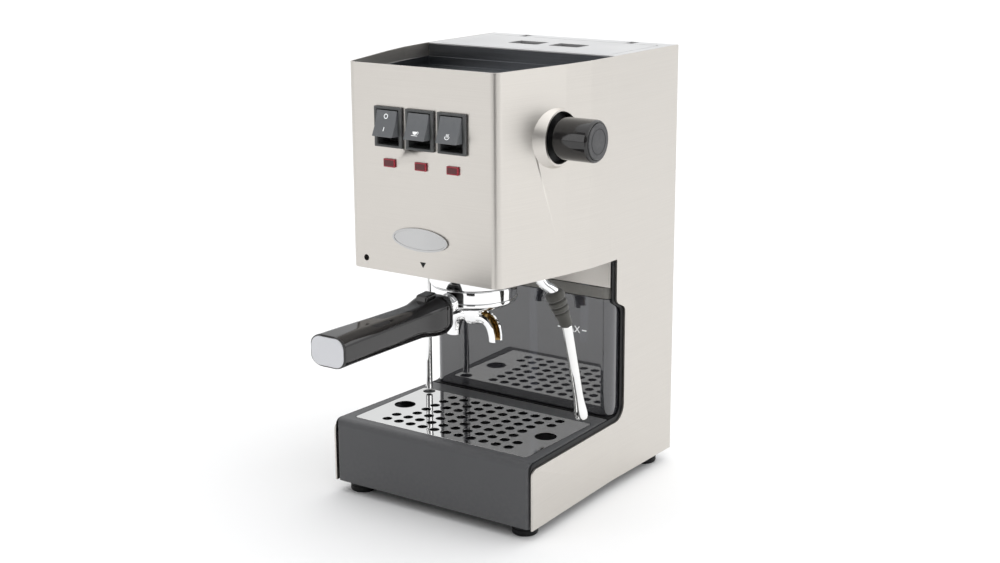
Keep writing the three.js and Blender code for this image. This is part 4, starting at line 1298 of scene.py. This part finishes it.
@dataclass
class Studio:
    """Camera, floor and light."""

    datum: Vector
    turn: float = radians(35.113)
    tip: float = radians(14.371)
    roll: float = radians(-0.288)
    lens: float = 59.2
    stand: Point = (0.794705, -1.02201, 0.535713)

    def set_camera(self) -> None:
        """Sets the camera where the maker's view is taken from."""
        data = bpy.data.cameras.new("camera")
        data.lens = self.lens
        data.sensor_width = 36.0
        camera = bpy.data.objects.new("camera", data)
        bpy.context.scene.collection.objects.link(camera)
        bpy.context.scene.camera = camera
        ahead = Vector((-sin(self.turn) * cos(self.tip), cos(self.turn) * cos(self.tip), -sin(self.tip)))
        level = ahead.cross(Vector((0, 0, 1))).normalized()
        up = level.cross(ahead)
        right = cos(self.roll) * level + sin(self.roll) * up
        top = -sin(self.roll) * level + cos(self.roll) * up
        place = Matrix((right, top, -ahead)).transposed().to_4x4()
        place.translation = self.datum + Vector(self.stand)
        camera.matrix_world = place

    def set_floor(self) -> None:
        """Lays the plain pale floor."""
        shape = bmesh.new()
        bmesh.ops.create_grid(shape, x_segments=1, y_segments=1, size=30.0)
        mesh = bpy.data.meshes.new("floor")
        shape.to_mesh(mesh)
        shape.free()
        floor = bpy.data.objects.new("floor", mesh)
        bpy.context.scene.collection.objects.link(floor)
        material, tree, shader = start_material("pale_floor")
        place = tree.nodes.new("ShaderNodeTexCoord").outputs["Object"]
        tone = noise_node(tree, place, 0.8, 1.0)
        pale = mix_colours(tree, tone, (0.90, 0.90, 0.90), (0.92, 0.92, 0.92))
        tree.links.new(pale, shader.inputs["Base Color"])
        shader.inputs["Roughness"].default_value = 0.75
        shader.inputs["Specular IOR Level"].default_value = 0.2
        mesh.materials.append(material)

    def set_card(self) -> None:
        """Stands a dark card that only shows in reflections, to draw the folds and the chrome."""
        shape = bmesh.new()
        turn = Matrix.Rotation(self.turn - radians(6), 4, "Z") @ Matrix.Rotation(pi / 2, 4, "X")
        away = Vector((sin(self.turn - radians(6)), -cos(self.turn - radians(6)), 0.0)) * 0.85
        size = Matrix.Diagonal((0.17, 0.42, 1.0, 1.0))
        bmesh.ops.create_grid(
            shape, x_segments=1, y_segments=1, size=1.0,
            matrix=Matrix.Translation(self.datum + away + Vector((0, 0, 0.43))) @ turn @ size,
        )
        mesh = bpy.data.meshes.new("dark_card")
        shape.to_mesh(mesh)
        shape.free()
        card = bpy.data.objects.new("dark_card", mesh)
        bpy.context.scene.collection.objects.link(card)
        material, tree, shader = start_material("dark_felt")
        tone = noise_node(tree, tree.nodes.new("ShaderNodeTexCoord").outputs["Object"], 40.0, 2.0)
        dark = mix_colours(tree, tone, (0.010, 0.010, 0.010), (0.016, 0.016, 0.016))
        tree.links.new(dark, shader.inputs["Base Color"])
        shader.inputs["Roughness"].default_value = 0.9
        mesh.materials.append(material)
        card.visible_camera = False
        card.visible_diffuse = False
        card.visible_shadow = False

    def set_world(self) -> None:
        """Sets the soft surroundings: bright to the right and rear, dimmer to the front left."""
        world = bpy.data.worlds.new("surroundings")
        bpy.context.scene.world = world
        world.use_nodes = True
        tree = world.node_tree
        background = tree.nodes["Background"]
        place = tree.nodes.new("ShaderNodeTexCoord").outputs["Generated"]
        facing = tree.nodes.new("ShaderNodeVectorMath")
        facing.operation = "DOT_PRODUCT"
        tree.links.new(place, facing.inputs[0])
        facing.inputs[1].default_value = (0.25, 0.80, 0.55)
        ramp = tree.nodes.new("ShaderNodeValToRGB")
        stops = ramp.color_ramp.elements
        stops[0].position, stops[0].color = 0.0, (0.20, 0.20, 0.205, 1)
        stops[1].position, stops[1].color = 1.0, (1.25, 1.26, 1.27, 1)
        middle = stops.new(0.45)
        middle.color = (0.45, 0.45, 0.455, 1)
        span = spread_node(tree, facing.outputs["Value"], -0.8, 0.8)
        tree.links.new(span, ramp.inputs["Fac"])
        tree.links.new(ramp.outputs["Color"], background.inputs["Color"])
        background.inputs["Strength"].default_value = 0.75

    def add_panel(self, name: str, place: Point, aim: Point, size: Corner, power: float) -> None:
        """Adds one soft light panel.

        Args:
            name: Name of the light.
            place: Where it hangs, in metres.
            aim: Point that it faces.
            size: Its width and height.
            power: Its power in watts.
        """
        data = bpy.data.lights.new(name, "AREA")
        data.shape = "RECTANGLE"
        data.size, data.size_y = size
        data.energy = power
        lamp = bpy.data.objects.new(name, data)
        bpy.context.scene.collection.objects.link(lamp)
        aimed = (Vector(place) - Vector(aim)).to_track_quat("Z", "Y").to_matrix().to_4x4()
        aimed.translation = Vector(place)
        lamp.matrix_world = aimed

    def add_sky(self, name: str, aim: Point, spread: float, strength: float) -> None:
        """Adds one far soft light, which lights the floor evenly however far it runs.

        Args:
            name: Name of the light.
            aim: Direction that it comes from.
            spread: Its angle, in degrees.
            strength: Its strength.
        """
        data = bpy.data.lights.new(name, "SUN")
        data.angle = radians(spread)
        data.energy = strength
        lamp = bpy.data.objects.new(name, data)
        bpy.context.scene.collection.objects.link(lamp)
        lamp.matrix_world = Vector(aim).to_track_quat("Z", "Y").to_matrix().to_4x4()

    def set_lights(self) -> None:
        """Hangs the panels and sets the far light."""
        target = (0.0, 0.0, 0.18)
        self.add_sky("far_overhead", (0.25, 0.10, 1.0), 125.0, 1.9)
        self.add_panel("right_side", (2.2, 0.5, 0.9), target, (1.4, 1.6), 4.0)
        self.add_panel("front_left", (-1.5, -2.2, 1.1), target, (0.8, 1.6), 6.0)

    def build(self) -> None:
        """Sets everything but the camera, which comes first."""
        self.set_floor()
        self.set_card()
        self.set_world()
        self.set_lights()
        bpy.context.scene.view_settings.view_transform = "Standard"


def main() -> None:
    """Builds the machine around the frame."""
    logging.basicConfig(level=logging.INFO, format="%(name)s %(message)s")
    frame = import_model()
    bench = Bench(frame, Effects())
    studio = Studio(bench.datum)
    studio.set_camera()
    bench.dress_nodes()
    for assembly in (
        Housing(bench), TopDeck(bench), SwitchRow(bench), SteamKnob(bench), SteamWand(bench), Group(bench),
        Portafilter(bench), Base(bench), Grille(bench), WaterTank(bench),
    ):
        assembly.build()
    studio.build()
    bpy.context.view_layer.update()


if __name__ == "__main__":
    main()
